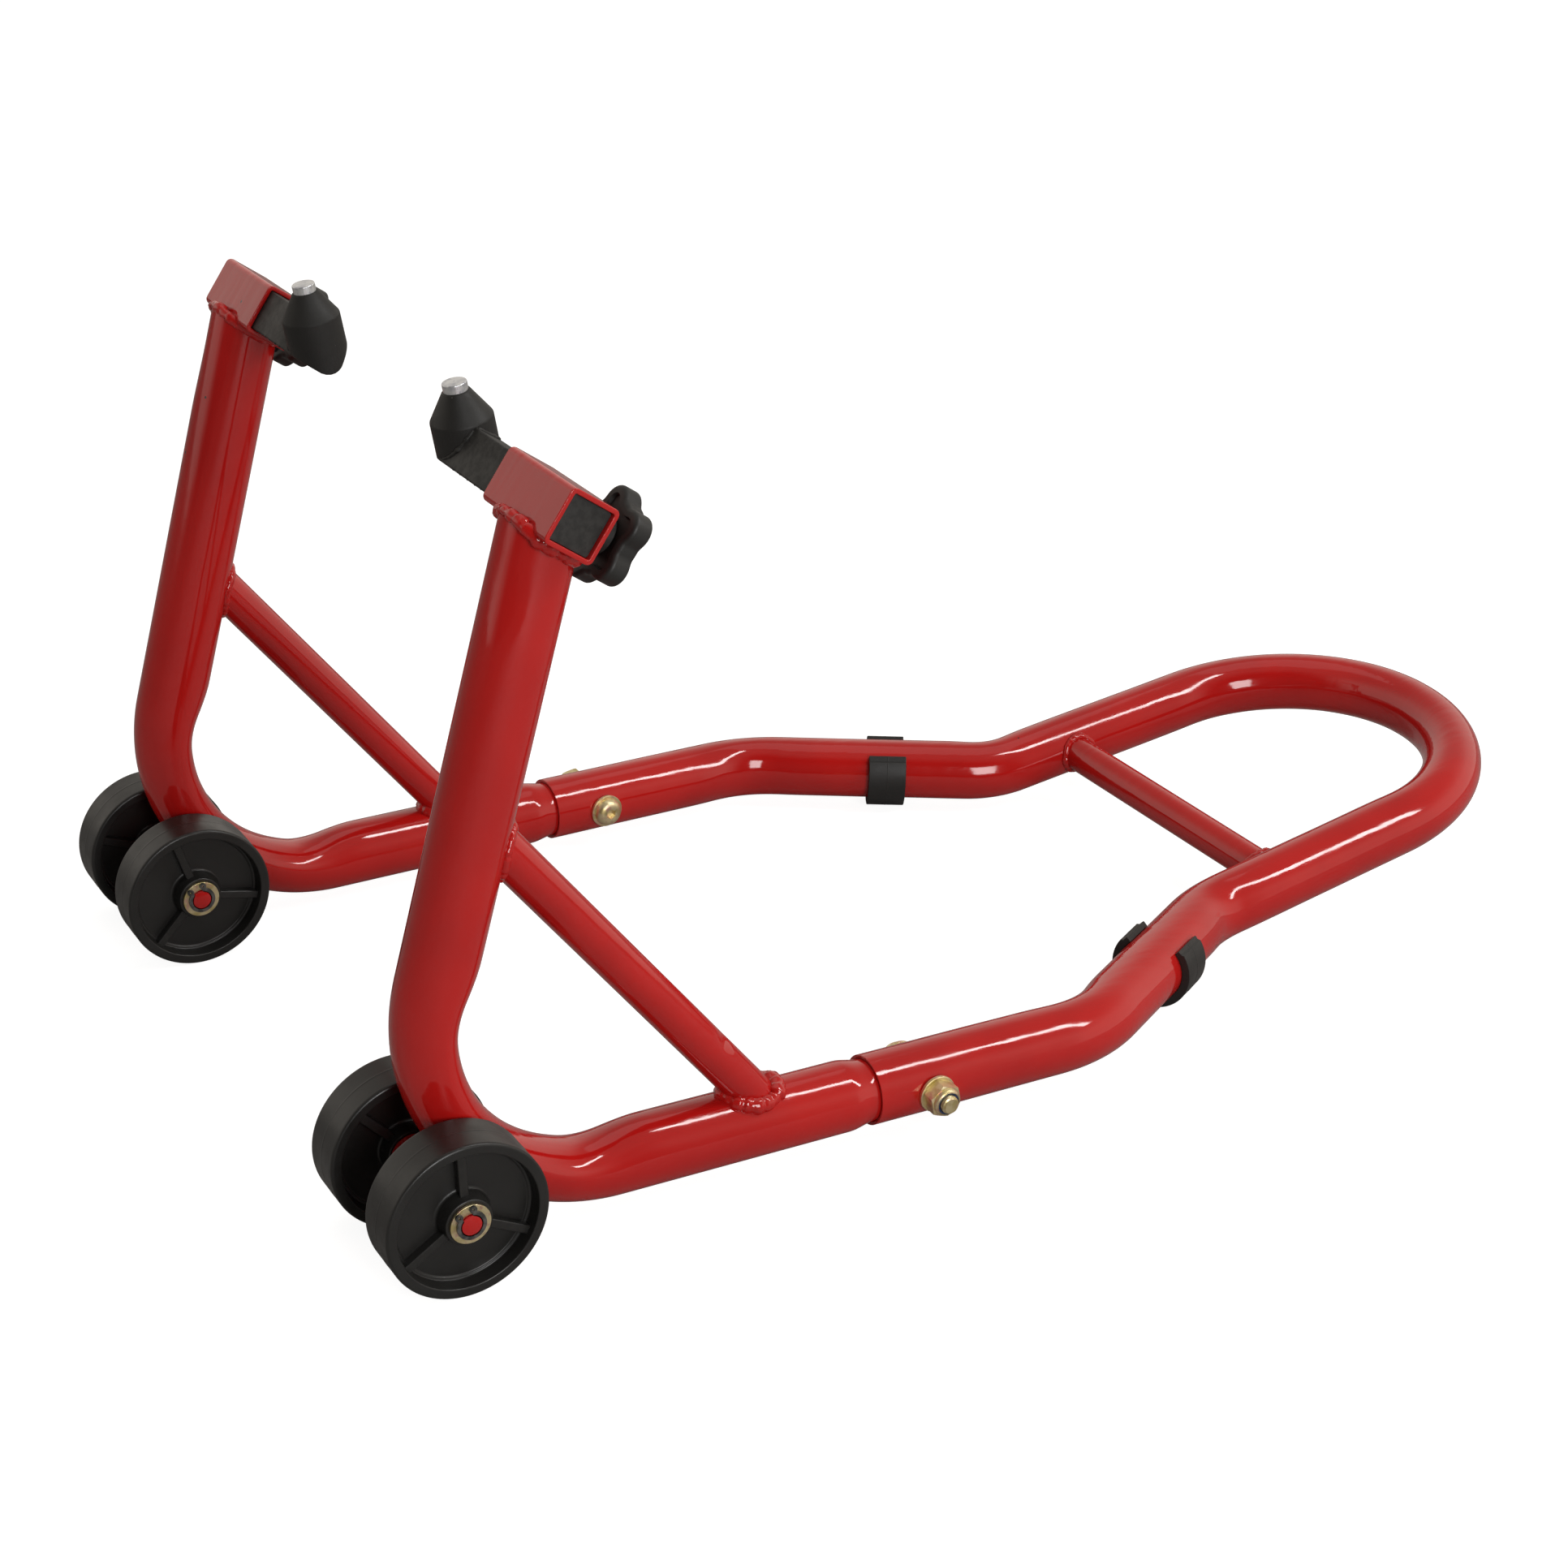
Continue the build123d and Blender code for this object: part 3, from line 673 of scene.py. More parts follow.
def weldBead(points, outward, radius, pitch, seed, closed=True, lumps=0.22, sides=10, ripple=0.3):
    # a ropey bead: overlapping puddles along a line of points, each a little different
    shape = bmesh.new()
    rand = random.Random(seed)
    count = len(points)
    lengths = [0.0]
    for first, second in zip(points, points[1:] + points[:1]):
        lengths.append(lengths[-1] + (second - first).length)
    puddles = max(3, round(lengths[-1] / pitch))
    scales = [1 + rand.uniform(-lumps, lumps) for _ in range(puddles + 1)]
    shifts = [Vector([rand.uniform(-1, 1) * lumps * radius * 0.6 for _ in range(3)]) for _ in range(puddles + 1)]
    rounds = []
    for index in range(count):
        before = points[index - 1] if closed or index else points[index]
        after = points[(index + 1) % count] if closed or index < count - 1 else points[index]
        phase = lengths[index] / lengths[-1] * puddles
        which, part = int(phase) % puddles, phase % 1.0
        swell = scales[which] * (1.03 - ripple + ripple * math.sqrt(max(0.0, math.sin(math.pi * part))))
        if not closed:
            swell *= 0.35 + 0.65 * min(1.0, 4 * min(index, count - 1 - index) / count + 0.1)
        centre = points[index] + shifts[which] * math.sin(math.pi * part)
        rounds.append(facing(centre, after - before, outward[index]) @ Matrix.Scale(swell, 4))
    bmesh.ops.create_circle(shape, cap_ends=not closed, segments=sides, radius=radius, matrix=rounds[0])
    edges = firstEdges = shape.edges[:]
    for before, after in zip(rounds, rounds[1:]):
        verts, edges = extrudeRing(shape, edges)
        bmesh.ops.transform(shape, matrix=after @ before.inverted(), verts=verts)
    if closed:
        bmesh.ops.bridge_loops(shape, edges=edges + firstEdges)
    else:
        capRing(shape, edges)
    for vert in shape.verts:
        vert.co += Vector((noise.noise(vert.co * 420), noise.noise(vert.co * 420 + Vector((9, 0, 0))),
                           noise.noise(vert.co * 420 + Vector((0, 9, 0))))) * radius * 0.14
    return shape


def endWeld(axisPoint, axis, line, lineDir, radius, pitch, seed, lumps=0.12):
    # the bead round a light tube where it meets a main tube
    lift, count = 0.0004, 120
    basis = facing(axisPoint, axis, (0, 1, 0) if abs(axis.y) < 0.8 else (0, 0, 1))
    points, outward = [], []
    for index in range(count):
        angle = math.tau * index / count
        side = (basis.to_3x3() @ Vector((math.cos(angle), math.sin(angle), 0))).normalized()
        point = meetTube(axisPoint + side * tube["lightRadius"], axis, line, lineDir, tube["radius"])
        fromLine = (point - line) - lineDir * (point - line).dot(lineDir)
        away = (side + fromLine.normalized()).normalized()
        points.append(point + away * lift)
        outward.append(away)
    return weldBead(points, outward, radius, pitch, seed, lumps=lumps, ripple=0.13)


def makeFootWeld(side):
    return endWeld(braceTop.lerp(braceFoot, 0.5), braceDir, *braceEnds[0], *weldOf("foot", side), lumps=0.13)


def makeTopWeld(side):
    return endWeld(braceTop.lerp(braceFoot, 0.5), -braceDir, *braceEnds[1], *weldOf("top", side))


def makeCrossWeld(side):
    return endWeld(crossMiddle, outDir, leftNeck, leftSide, *weldOf("cross", side))


def makeHousingWeld(side):
    # the bead follows the arm's cut rim and climbs onto the housing's two lower edges
    centre = armCorner + armDir * ((underHousing - armCorner.dot(coverDir)) / armDir.dot(coverDir))
    slant = armDir.dot(coverDir)
    half = housingSide / 2
    middle = housingCentre.dot(clampDir)
    points, outward = [], []
    count = 150
    for index in range(count):
        angle = math.tau * index / count
        flat = clampDir * math.cos(angle) * tube["radius"] / slant + outDir * math.sin(angle) * tube["radius"]
        point = centre + flat
        beyond = point.dot(clampDir) - middle
        over = max(0.0, abs(beyond) - half) / 0.006
        point -= clampDir * math.copysign(min(1.0, over) * 0.0022, beyond)
        point += coverDir * (0.0006 + 0.0016 * min(1.0, over))
        point -= armDir * 0.002 * max(0.0, math.cos(angle - math.radians(55)))
        points.append(point)
        outward.append(flat.normalized())
    return weldBead(points, outward, *weldOf("housing", side), lumps=0.28, sides=16, ripple=0.16)


def makeSleeveWeld(side):
    # two beads between the axle sleeve and the bottom bend
    pivot = Vector((frontX + tube["radius"] + armBend["radius"], armY, bendCentreZ))
    axle = Vector((axleX, armY, axleZ))
    inward = (pivot - axle).normalized()
    across = inward.cross(Vector((0, 1, 0))).normalized()
    beads = []
    for way in (-1, 1):
        points = [axle + inward * 0.0072 + across * way * 0.0095 + Vector((0, 0.0125 * (index / 15 - 1), 0))
                  for index in range(31)]
        beads.append(weldBead(points, [across * way] * len(points), 0.0027, 0.0042, 40 + way, closed=False))
    return joined(beads)


bothSides(makeArmTube, "ArmTube", "frame", "red_paint", "arm_tube", sharpAngle=40)
bothSides(makeBrace, "Brace", "frame", "red_paint", "brace")
finishPiece(makeHandleTube(), "handleTube", "frame", "red_paint", ("handle_tube",), sharpAngle=40)
finishPiece(makeCrossTube(), "crossTube", "frame", "red_paint", ("cross_tube",))
bothSides(makeFootWeld, "BraceFootWeld", "frame", "red_paint", sharpAngle=80)
bothSides(makeTopWeld, "BraceTopWeld", "frame", "red_paint", sharpAngle=80)
bothSides(makeHousingWeld, "HousingWeld", "frame", "red_paint", sharpAngle=80)
bothSides(makeSleeveWeld, "SleeveWeld", "frame", "red_paint", sharpAngle=80)
bothSides(makeCrossWeld, "CrossTubeWeld", "frame", "red_paint", sharpAngle=80)
print("tubes and welds done")


housing = {"corner": 0.0032, "wall": 0.0025, "rim": 0.0006}
head = {"radius": 0.01525, "topRadius": 0.0066, "coneHeight": 0.0138, "edge": 0.0007, "keel": 0.0095,
        "keelSteps": 6}
drip = {"proud": 0.00018, "sizes": (0.0006, 0.00075), "spacing": (0.0045, 0.0085)}
pinShape = {"radius": 0.006, "out": 0.0042, "shank": 0.005, "depth": 0.018, "edge": 0.0006,
            "flutes": 24, "fluteDepth": 0.00005}

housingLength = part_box("left_bar_housing")[1].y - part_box("left_bar_housing")[0].y


def makeHousing(side):
    shape = bmesh.new()
    bmesh.ops.create_cube(shape, size=1.0)
    bmesh.ops.scale(shape, vec=(housingSide, housingSide, housingLength), verts=shape.verts)
    ends = [face for face in shape.faces if abs(face.normal.z) > 0.9]
    bmesh.ops.delete(shape, geom=ends, context="FACES_ONLY")
    corners = [edge for edge in shape.edges if abs((edge.verts[0].co - edge.verts[1].co).z) > housingLength / 2]
    roundEdges(shape, corners, housing["corner"], 6)
    solidWall(shape, housing["wall"])
    rims = [edge for edge in sharperThan(shape, 1.2) if abs(edge.verts[0].co.z - edge.verts[1].co.z) < 1e-6]
    roundEdges(shape, rims, housing["rim"], 3)
    move(shape, facing(housingCentre, outDir, clampDir))
    return shape


pinTip = Vector(forkPin["pos_m"])
pinTip = pinTip + headDir * (span("left_lifting_pin", headDir)[1] - pinTip.dot(headDir))
headSeat = pinTip - headDir * (pinShape["out"] + head["coneHeight"])


def makeHead(side):
    place = facing(headSeat, headDir, outDir)
    depth = 0.045
    shape = turned([(0, -depth), (head["radius"], -depth), (head["radius"], 0, 0.0006),
                    (head["topRadius"], head["coneHeight"], head["edge"]), (0, head["coneHeight"])],
                   place, 96, closed=False)
    # the lower side is cut flush with two faces of the bar, with a round keel between them
    inside = (clampDir * (span("left_slide_bar", clampDir)[1] - head["keel"])
              + coverDir * (span("left_slide_bar", coverDir)[0] + head["keel"]))
    for step in range(head["keelSteps"] + 1):
        turn = math.pi / 2 * step / head["keelSteps"]
        direction = clampDir * math.cos(turn) - coverDir * math.sin(turn)
        cutAway(shape, inside + direction * head["keel"], direction)
    bmesh.ops.remove_doubles(shape, verts=shape.verts, dist=2e-5)
    bmesh.ops.recalc_face_normals(shape, faces=shape.faces)
    roundEdges(shape, sharperThan(shape, 0.75), 0.0005, 2, clamp_overlap=True)
    return shape


def makePin(side):
    top = pinShape["out"]
    profile = [(0, -pinShape["depth"]), (pinShape["shank"], -pinShape["depth"]), (pinShape["shank"], 0),
               (pinShape["radius"], 0), (pinShape["radius"], top, pinShape["edge"]), (0, top)]
    shape = turned(profile, Matrix.Identity(4), 96, closed=False)
    for vert in shape.verts:
        flat = math.hypot(vert.co.x, vert.co.y)
        if flat > pinShape["radius"] * 0.9 and vert.co.z > 0.0004:
            flute = pinShape["fluteDepth"] * math.cos(pinShape["flutes"] * math.atan2(vert.co.y, vert.co.x))
            scaleFlat(vert, 1 - flute / flat)
    move(shape, facing(pinTip - headDir * top, headDir, outDir))
    return shape


def makeHeadWeld(side):
    # short beads where the bar meets the head, on its two upper faces
    beads = []
    low, high = span("left_slide_bar", clampDir)
    half = (high - low) / 2
    barCentre = clampDir * ((low + high) / 2) + coverDir * (sum(span("left_slide_bar", coverDir)) / 2)
    for way, along in ((-clampDir, coverDir), (coverDir, clampDir)):
        points, outward = [], []
        for index in range(27):
            slide = (index / 26 - 0.5) * 2 * half * 0.86
            spot = barCentre + way * half + along * slide + Vector((0, headSeat.y, 0))
            apart = (spot - headSeat) - headDir * (spot - headSeat).dot(headDir)
            reach = math.sqrt(max(1e-8, head["radius"] ** 2 - (apart - outDir * apart.dot(outDir)).length_squared))
            points.append(spot + outDir * reach)
            outward.append(way)
        beads.append(weldBead(points, outward, *weldOf("head", side), closed=False, sides=8))
    return joined(beads)


def makePaintDrips(side):
    # small beads of paint that hang along the bar's lower front edge
    rand = random.Random(5 if side == "left" else 9)
    shape = bmesh.new()
    edge = clampDir * span("left_slide_bar", clampDir)[0] + coverDir * span("left_slide_bar", coverDir)[0]
    reach = headSeat.y + head["radius"] * outDir.y
    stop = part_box("left_bar_housing")[1].y
    y = reach - 0.001
    while y > stop + 0.003:
        size = rand.uniform(*drip["sizes"])
        spot = Vector((edge.x, y, edge.z)) + (clampDir + coverDir) * (size - drip["proud"])
        made = bmesh.ops.create_icosphere(shape, subdivisions=2, radius=size,
                                          matrix=Matrix.Translation(spot) @ Matrix.Diagonal((1, 1.5, 1, 1)))["verts"]
        for vert in made:
            vert.co = spot + (vert.co - spot) * (1 - abs(noise.noise(vert.co * 900)) * 0.3)
        y -= rand.uniform(*drip["spacing"])
    return shape


bothSides(makeHousing, "BarHousing", "frame", "red_paint", "bar_housing")
bothSides(makeHead, "LiftingHead", "slide", "black_paint", "lifting_head")
bothSides(makePin, "LiftingPin", "slide", "bright_zinc", "lifting_pin")
bothSides(makeHeadWeld, "HeadWeld", "slide", "black_paint", sharpAngle=80)
bothSides(makePaintDrips, "PaintDrips", "slide", "black_paint", sharpAngle=80)
print("housings and heads done")


wheel = {"radius": 0.04192, "width": 0.0265, "edge": 0.0016, "rimInner": 0.0364, "web": 0.0085, "stepRadius": 0.0338,
         "stepHeight": 0.0008, "hub": 0.0121, "hubFoot": 0.0138, "bore": 0.0058, "ribWidth": 0.0046, "ribTop": 0.0036}
ribTurns = {"leftOuter": -27, "leftInner": 14, "rightInner": -12, "rightOuter": 40}
washerShape = {"radius": 0.0105, "bore": 0.0058, "edge": 0.0003, "half": 0.00075}
axleShape = {"radius": 0.00575, "dome": 0.0006, "groove": 0.0006, "grooveWidth": 0.0012}


def makeWheel(middleY, ribTurn):
    half = wheel["width"] / 2
    side = [(wheel["bore"], half), (wheel["hub"], half, 0.0006), (wheel["hubFoot"], half - wheel["web"], 0.0014),
            (wheel["stepRadius"], half - wheel["web"], 0.0004),
            (wheel["stepRadius"] + 0.0007, half - wheel["web"] + wheel["stepHeight"], 0.0003),
            (wheel["rimInner"] - 0.0008, half - wheel["web"] + wheel["stepHeight"], 0.0009),
            (wheel["rimInner"], half, 0.0007), (wheel["radius"], half, wheel["edge"]),
            (wheel["radius"], half - wheel["edge"] - 0.0006)]
    seam = [(wheel["radius"], 0.0011), (wheel["radius"], 0.0005), (wheel["radius"] + 0.00008, 0.0002)]
    lower = [(point[0], -point[1], *point[2:]) for point in reversed(side + seam)]
    shape = turned(side + seam + lower, Matrix.Identity(4), 128)
    length = wheel["rimInner"] - wheel["hub"] + 0.0006
    height = half - wheel["ribTop"]
    for step in range(3):
        turn = Matrix.Rotation(math.radians(120 * step), 4, "Z")
        middle = Vector(((wheel["rimInner"] + wheel["hub"]) / 2, 0, 0))
        addBox(shape, (length, wheel["ribWidth"], 2 * height), turn @ Matrix.Translation(middle), 0.0007, 3)
    place = facing((axleX, middleY, axleZ), (0, -1, 0), (math.cos(math.radians(ribTurn)), 0,
                                                          math.sin(math.radians(ribTurn))))
    move(shape, place)
    return shape


for side in ("left", "right"):
    for place, y in (("Outer", outerWheelY), ("Inner", innerWheelY)):
        wheelName = f"{side}_{place.lower()}_wheel"
        finishPiece(makeWheel(y, ribTurns[side + place]), f"{side}{place}Wheel", wheelName, "wheel_plastic",
                    (wheelName,), side == "right", sharpAngle=28)


def makeWheelWashers(side):
    nodeLow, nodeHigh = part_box("left_wheel_washers")
    half, bore, radius, edge = (washerShape[key] for key in ("half", "bore", "radius", "edge"))
    profile = [(bore, half), (radius, half, edge), (radius, -half, edge), (bore, -half)]
    return joined([turned(profile, facing((axleX, y, axleZ), outDir), 72)
                   for y in (nodeLow.y + half, nodeHigh.y - half)])


def makeAxle(side):
    low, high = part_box("left_axle")
    half = (high.y - low.y) / 2
    clipLow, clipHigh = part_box("left_circlips")
    clipY = (clipHigh.y - clipLow.y) / 2
    radius, groove = axleShape["radius"], axleShape["radius"] - axleShape["groove"]
    dome, inner = axleShape["dome"], clipY - axleShape["grooveWidth"]
    end = [(0, half), (radius * 0.55, half - dome * 0.35, 0.001), (radius, half - dome * 1.6, 0.0007),
           (radius, clipY), (groove, clipY), (groove, inner), (radius, inner)]
    return turned(end + [(x[0], -x[1], *x[2:]) for x in reversed(end)],
                  facing((axleX, (low.y + high.y) / 2, axleZ), outDir), 48, closed=False)


bothSides(makeWheelWashers, "WheelWashers", "frame", "yellow_zinc", "wheel_washers")
bothSides(makeAxle, "Axle", "frame", "red_paint", "axle")
print("wheels done")


knob = {"radius": 0.0245, "waist": 0.01925, "lobe": 0.0082, "lobes": 5, "leftPhase": -15.0, "rightPhase": 15.5,
        "softness": 0.0011, "boss": 0.0095, "bossHeight": 0.006, "bore": 0.0043, "edge": 0.0021, "dish": 0.0012}


def knobReach(angle, phase):
    # the star's outline: a waist circle and round lobes, run together softly
    reach = knob["radius"] - knob["lobe"]
    share = math.tau / knob["lobes"]
    near = (angle - math.radians(phase) + share / 2) % share - share / 2
    sideways = reach * math.sin(near)
    lobe = 0.0
    if abs(sideways) < knob["lobe"]:
        lobe = reach * math.cos(near) + math.sqrt(knob["lobe"] ** 2 - sideways ** 2)
    softness = knob["softness"]
    return softness * math.log(math.exp(lobe / softness) + math.exp(knob["waist"] / softness))


def makeKnob(side):
    low, high = span("left_clamp_knob", clampDir)
    boss = knob["bossHeight"]
    thickness = high - low - boss
    origin = Vector(joints["left_clamp_turn"]["pos_m"])
    start = origin + clampDir * (low + boss - origin.dot(clampDir))
    shape = bmesh.new()
    made = bmesh.ops.create_circle(shape, cap_ends=True, segments=240, radius=1.0)["verts"]
    for vert in made:
        angle = math.atan2(vert.co.y, vert.co.x)
        vert.co = Vector((math.cos(angle), math.sin(angle), 0)) * knobReach(angle, knob[side + "Phase"])
    top = bmesh.ops.extrude_face_region(shape, geom=shape.faces[:])["geom"]
    bmesh.ops.translate(shape, vec=(0, 0, thickness), verts=only(top, bmesh.types.BMVert))
    bmesh.ops.recalc_face_normals(shape, faces=shape.faces)
    rims = [edge for edge in shape.edges if len(edge.link_faces) == 2
            and {len(face.verts) > 4 for face in edge.link_faces} == {True, False}]
    roundEdges(shape, rims, knob["edge"], 5)
    for face in [face for face in shape.faces if len(face.verts) > 20]:
        # each broad face has a shallow round dish, deeper on the side away from the housing
        away = face.normal.z > 0
        bmesh.ops.inset_region(shape, faces=[face], thickness=0.0022, depth=0.0)
        bmesh.ops.inset_region(shape, faces=[face], thickness=0.0008, depth=-knob["dish"] * (1.0 if away else 1.6))
        if away:
            bmesh.ops.inset_region(shape, faces=[face], thickness=0.0052, depth=0.0)
            bmesh.ops.inset_region(shape, faces=[face], thickness=0.0008, depth=0.0014)
    place = facing(start, clampDir, coverDir)
    move(shape, place)
    stub = turned([(knob["bore"], -boss), (knob["boss"], -boss, 0.0006), (knob["boss"] + 0.0006, 0.0006),
                   (knob["bore"], 0.0006)], place, 64)
    return joined([shape, stub])


bothSides(makeKnob, "ClampKnob", "clamp_knob", "black_plastic", "clamp_knob", sharpAngle=30)
print("knobs done")


boltShape = {"radius": 0.005, "head": 0.0087, "crown": 0.0044, "headHeight": 0.0054, "brim": 0.0009, "socket": 0.0034,
             "socketDepth": 0.0032, "threadLength": 0.016, "pitch": 0.0015, "thread": 0.0004}
nutShape = {"flats": 0.0166, "height": 0.008, "collar": 0.0076, "chamfer": 0.0085, "bore": 0.0051,
            "leftTurn": 12, "rightTurn": 40}
boltWasher = {"radius": 0.0104, "thickness": 0.002, "bore": 0.00525}

boltDir = Vector((railDir.y, -railDir.x, 0)).normalized()
boltCentre = boxCentre("left_bolt_washers")
seat = tube["radius"] + boltWasher["thickness"]
nutPlace = facing(boltCentre, boltDir, railDir)


def makeBolt(side):
    headTop = seat + boltShape["headHeight"]
    tip = span("left_joint_bolt", boltDir)[1] - boltCentre.dot(boltDir)
    rings = 9
    brim = boltShape["brim"]
    profile = []
    for step in range(rings + 1):
        angle = math.pi / 2 * step / rings * 0.92
        profile.append((boltShape["crown"] + (boltShape["head"] - boltShape["crown"]) * math.sin(angle),
                        seat + brim + (boltShape["headHeight"] - brim) * math.cos(angle)))
    profile += [(boltShape["head"], seat + brim), (boltShape["head"], seat, 0.0002), (boltShape["radius"], seat)]
    shape = turned(profile, Matrix.Identity(4), 60, closed=False)
    rim = [edge for edge in shape.edges if edge.is_boundary and edge.verts[0].co.z > headTop - 1e-5]
    hexagon = bmesh.ops.create_circle(shape, cap_ends=False, segments=6, radius=boltShape["socket"],
                                      matrix=Matrix.Translation((0, 0, headTop - 0.0001)))["verts"]
    hexEdges = list({edge for vert in hexagon for edge in vert.link_edges})
    bmesh.ops.bridge_loops(shape, edges=rim + hexEdges)
    grown, deepEdges = extrudeRing(shape, hexEdges)
    bmesh.ops.translate(shape, vec=(0, 0, -boltShape["socketDepth"]), verts=grown)
    capRing(shape, deepEdges)
    # the shank, with a thread cut into the end that shows past the nut
    radius, shankLow = boltShape["radius"], -tip
    levels = 90
    threadFrom = shankLow + boltShape["threadLength"]
    shank = [(radius, seat)]
    shank += [(radius, threadFrom + (shankLow - threadFrom) * step / levels) for step in range(levels + 1)]
    shank += [(radius - 0.0009, shankLow - 0.0002), (0, shankLow - 0.0002)]
    rod = turned(shank, Matrix.Identity(4), 48, closed=False)
    for vert in rod.verts:
        flat = math.hypot(vert.co.x, vert.co.y)
        if flat > radius - 1e-5 and vert.co.z < threadFrom - 0.0002:
            phase = (vert.co.z / boltShape["pitch"] + math.atan2(vert.co.y, vert.co.x) / math.tau) % 1.0
            sink = boltShape["thread"] * abs(2 * phase - 1)
            taper = smooth((vert.co.z - shankLow) / 0.0008)
            scaleFlat(vert, (radius - sink - 0.0006 * (1 - taper)) / flat)
    whole = joined([shape, rod])
    move(whole, facing(boltCentre, -boltDir, railDir))
    return whole


def makeLockNut(side):
    # a hexagon whose corners are turned off to a circle, a domed collar, and the bore
    half = nutShape["flats"] / 2
    low, top = seat, seat + nutShape["height"]
    shape = bmesh.new()
    verts = bmesh.ops.create_circle(shape, cap_ends=False, segments=96, radius=1.0)["verts"]
    edges = shape.edges[:]
    bore = nutShape["bore"]
    levels = ((low, bore, None), (low, nutShape["chamfer"], "in"), (low, nutShape["chamfer"], "out"),
              (top, nutShape["chamfer"], "out"), (top, nutShape["chamfer"], "in"),
              (top, nutShape["collar"] + 0.0002, None), (top + 0.0012, nutShape["collar"], None),
              (top + 0.002, nutShape["collar"] - 0.0006, None), (top + 0.0024, nutShape["collar"] - 0.0014, None),
              (top + 0.0022, 0.0066, None), (top + 0.0004, 0.0065, None), (top + 0.0004, bore, None))
    for number, (height, radius, kind) in enumerate(levels):
        if number:
            verts, edges = extrudeRing(shape, edges)
        for vert in verts:
            angle = math.atan2(vert.co.y, vert.co.x)
            flat = half / math.cos((angle + math.pi / 6) % (math.pi / 3) - math.pi / 6)
            reach, level = radius, height
            if kind == "in":
                reach = min(flat, radius)
            if kind == "out":
                reach = flat
                sink = max(0.0, reach - radius) * math.tan(math.radians(30))
                level = height + sink * (1 if height == low else -1)
            vert.co = Vector((math.cos(angle) * reach, math.sin(angle) * reach, level))
    bmesh.ops.bridge_loops(shape, edges=[edge for edge in shape.edges if edge.is_boundary])
    turn = Matrix.Rotation(math.radians(nutShape[side + "Turn"]), 4, "Z")
    move(shape, nutPlace @ turn)
    return shape


def makeNylonRing(side):
    top = seat + nutShape["height"]
    bore = nutShape["bore"]
    return turned([(bore, top + 0.0005), (bore, top + 0.0019, 0.0003), (0.0065, top + 0.002, 0.0003),
                   (0.0065, top + 0.0005)], nutPlace, 48)


def makeBoltWashers(side):
    rings = []
    for height in (-seat, tube["radius"]):
        top = height + boltWasher["thickness"]
        rings.append(turned([(boltWasher["bore"], top), (boltWasher["radius"], top, 0.0005),
                             (boltWasher["radius"], height, 0.0003), (boltWasher["bore"], height)], nutPlace, 64))
    return joined(rings)


bothSides(makeBolt, "JointBolt", "frame", "yellow_zinc", "joint_bolt")
bothSides(makeLockNut, "LockNut", "frame", "yellow_zinc", "lock_nut")
bothSides(makeNylonRing, "NylonRing", "frame", "blue_nylon", "nylon_ring")
bothSides(makeBoltWashers, "BoltWashers", "frame", "yellow_zinc", "bolt_washers")
print("bolts done")


clip = {"wall": 0.005, "width": 0.024, "wrap": 270, "edge": 0.0008, "lip": 0.0012, "lipLength": 9,
        "seam": 0.00025, "seamHalf": 0.0004}


def makeFloorClip(side):
    centre = boxCentre("left_floor_clip")
    line = (leftNeck - railPoint(handle["outerBend"])).normalized()
    centre = Vector((centre.x, centre.y, railZ))
    inner, outer, half = tube["radius"] + 0.0001, tube["radius"] + clip["wall"], clip["width"] / 2
    shape = bmesh.new()
    points = [(inner, -half), (outer, -half), (outer, -clip["seamHalf"]), (outer + clip["seam"], 0),
              (outer, clip["seamHalf"]), (outer, half), (inner, half)]
    ring = [shape.verts.new((radius, 0, height)) for radius, height in points]
    for first, second in zip(ring, ring[1:] + ring[:1]):
        shape.edges.new((first, second))
    startFace = shape.faces.new(ring)
    gap = math.radians(360 - clip["wrap"]) / 2
    bmesh.ops.rotate(shape, cent=(0, 0, 0), matrix=Matrix.Rotation(math.pi / 2 + gap, 3, "Z"), verts=shape.verts)
    bmesh.ops.spin(shape, geom=[startFace, *startFace.edges, *startFace.verts], cent=(0, 0, 0), axis=(0, 0, 1),
                   angle=math.radians(clip["wrap"]), steps=90)
    bmesh.ops.recalc_face_normals(shape, faces=shape.faces)
    lip = math.radians(clip["lipLength"])
    for vert in shape.verts:
        flat = math.hypot(vert.co.x, vert.co.y)
        fromTop = abs((math.atan2(vert.co.y, vert.co.x) - math.pi / 2 + math.pi) % math.tau - math.pi) - gap
        if flat > inner + 0.001 and fromTop < lip:
            scaleFlat(vert, (flat - clip["lip"]) / flat)
    roundEdges(shape, sharperThan(shape, 1.0), clip["edge"], 3, clamp_overlap=True)
    move(shape, facing(centre, line, Vector((0, 0, 1)).cross(line)))
    return shape


bothSides(makeFloorClip, "FloorClip", "frame", "black_plastic", "floor_clip", sharpAngle=35)
print("floor clips done")


for nodeName, node in frame["nodes"].items():
    if not node.hide_render:
        node.data.materials.clear()
        node.data.materials.append(finishes[nodeSlot(nodeName)])
        print("kept", nodeName)


studio = {"floor": (0.34, 0.335, 0.33), "floorGlow": 0.9, "floorSize": 60.0, "world": 0.85, "dark": 0.08,
          "zenith": 0.4, "worldColour": (1.0, 0.93, 0.84)}
# each soft box: its direction from the stand, distance, width and height, and power
softBoxes = {"keyBox": ((0.47, -0.39, 0.79), 2.2, (0.2, 1.5), 16), "topBox": ((0.1, 0.3, 1.0), 2.6, (1.8, 1.8), 4),
             "frontBox": ((-0.15, -1.0, 0.35), 3.2, (1.0, 1.6), 46)}
cameraPlace = {"azimuth": -31.2, "elevation": 24.97, "roll": 2.08, "distance": 1.5485, "lens": 63.48,
               "aim": (-0.09709, -0.03318, 0.12705)}


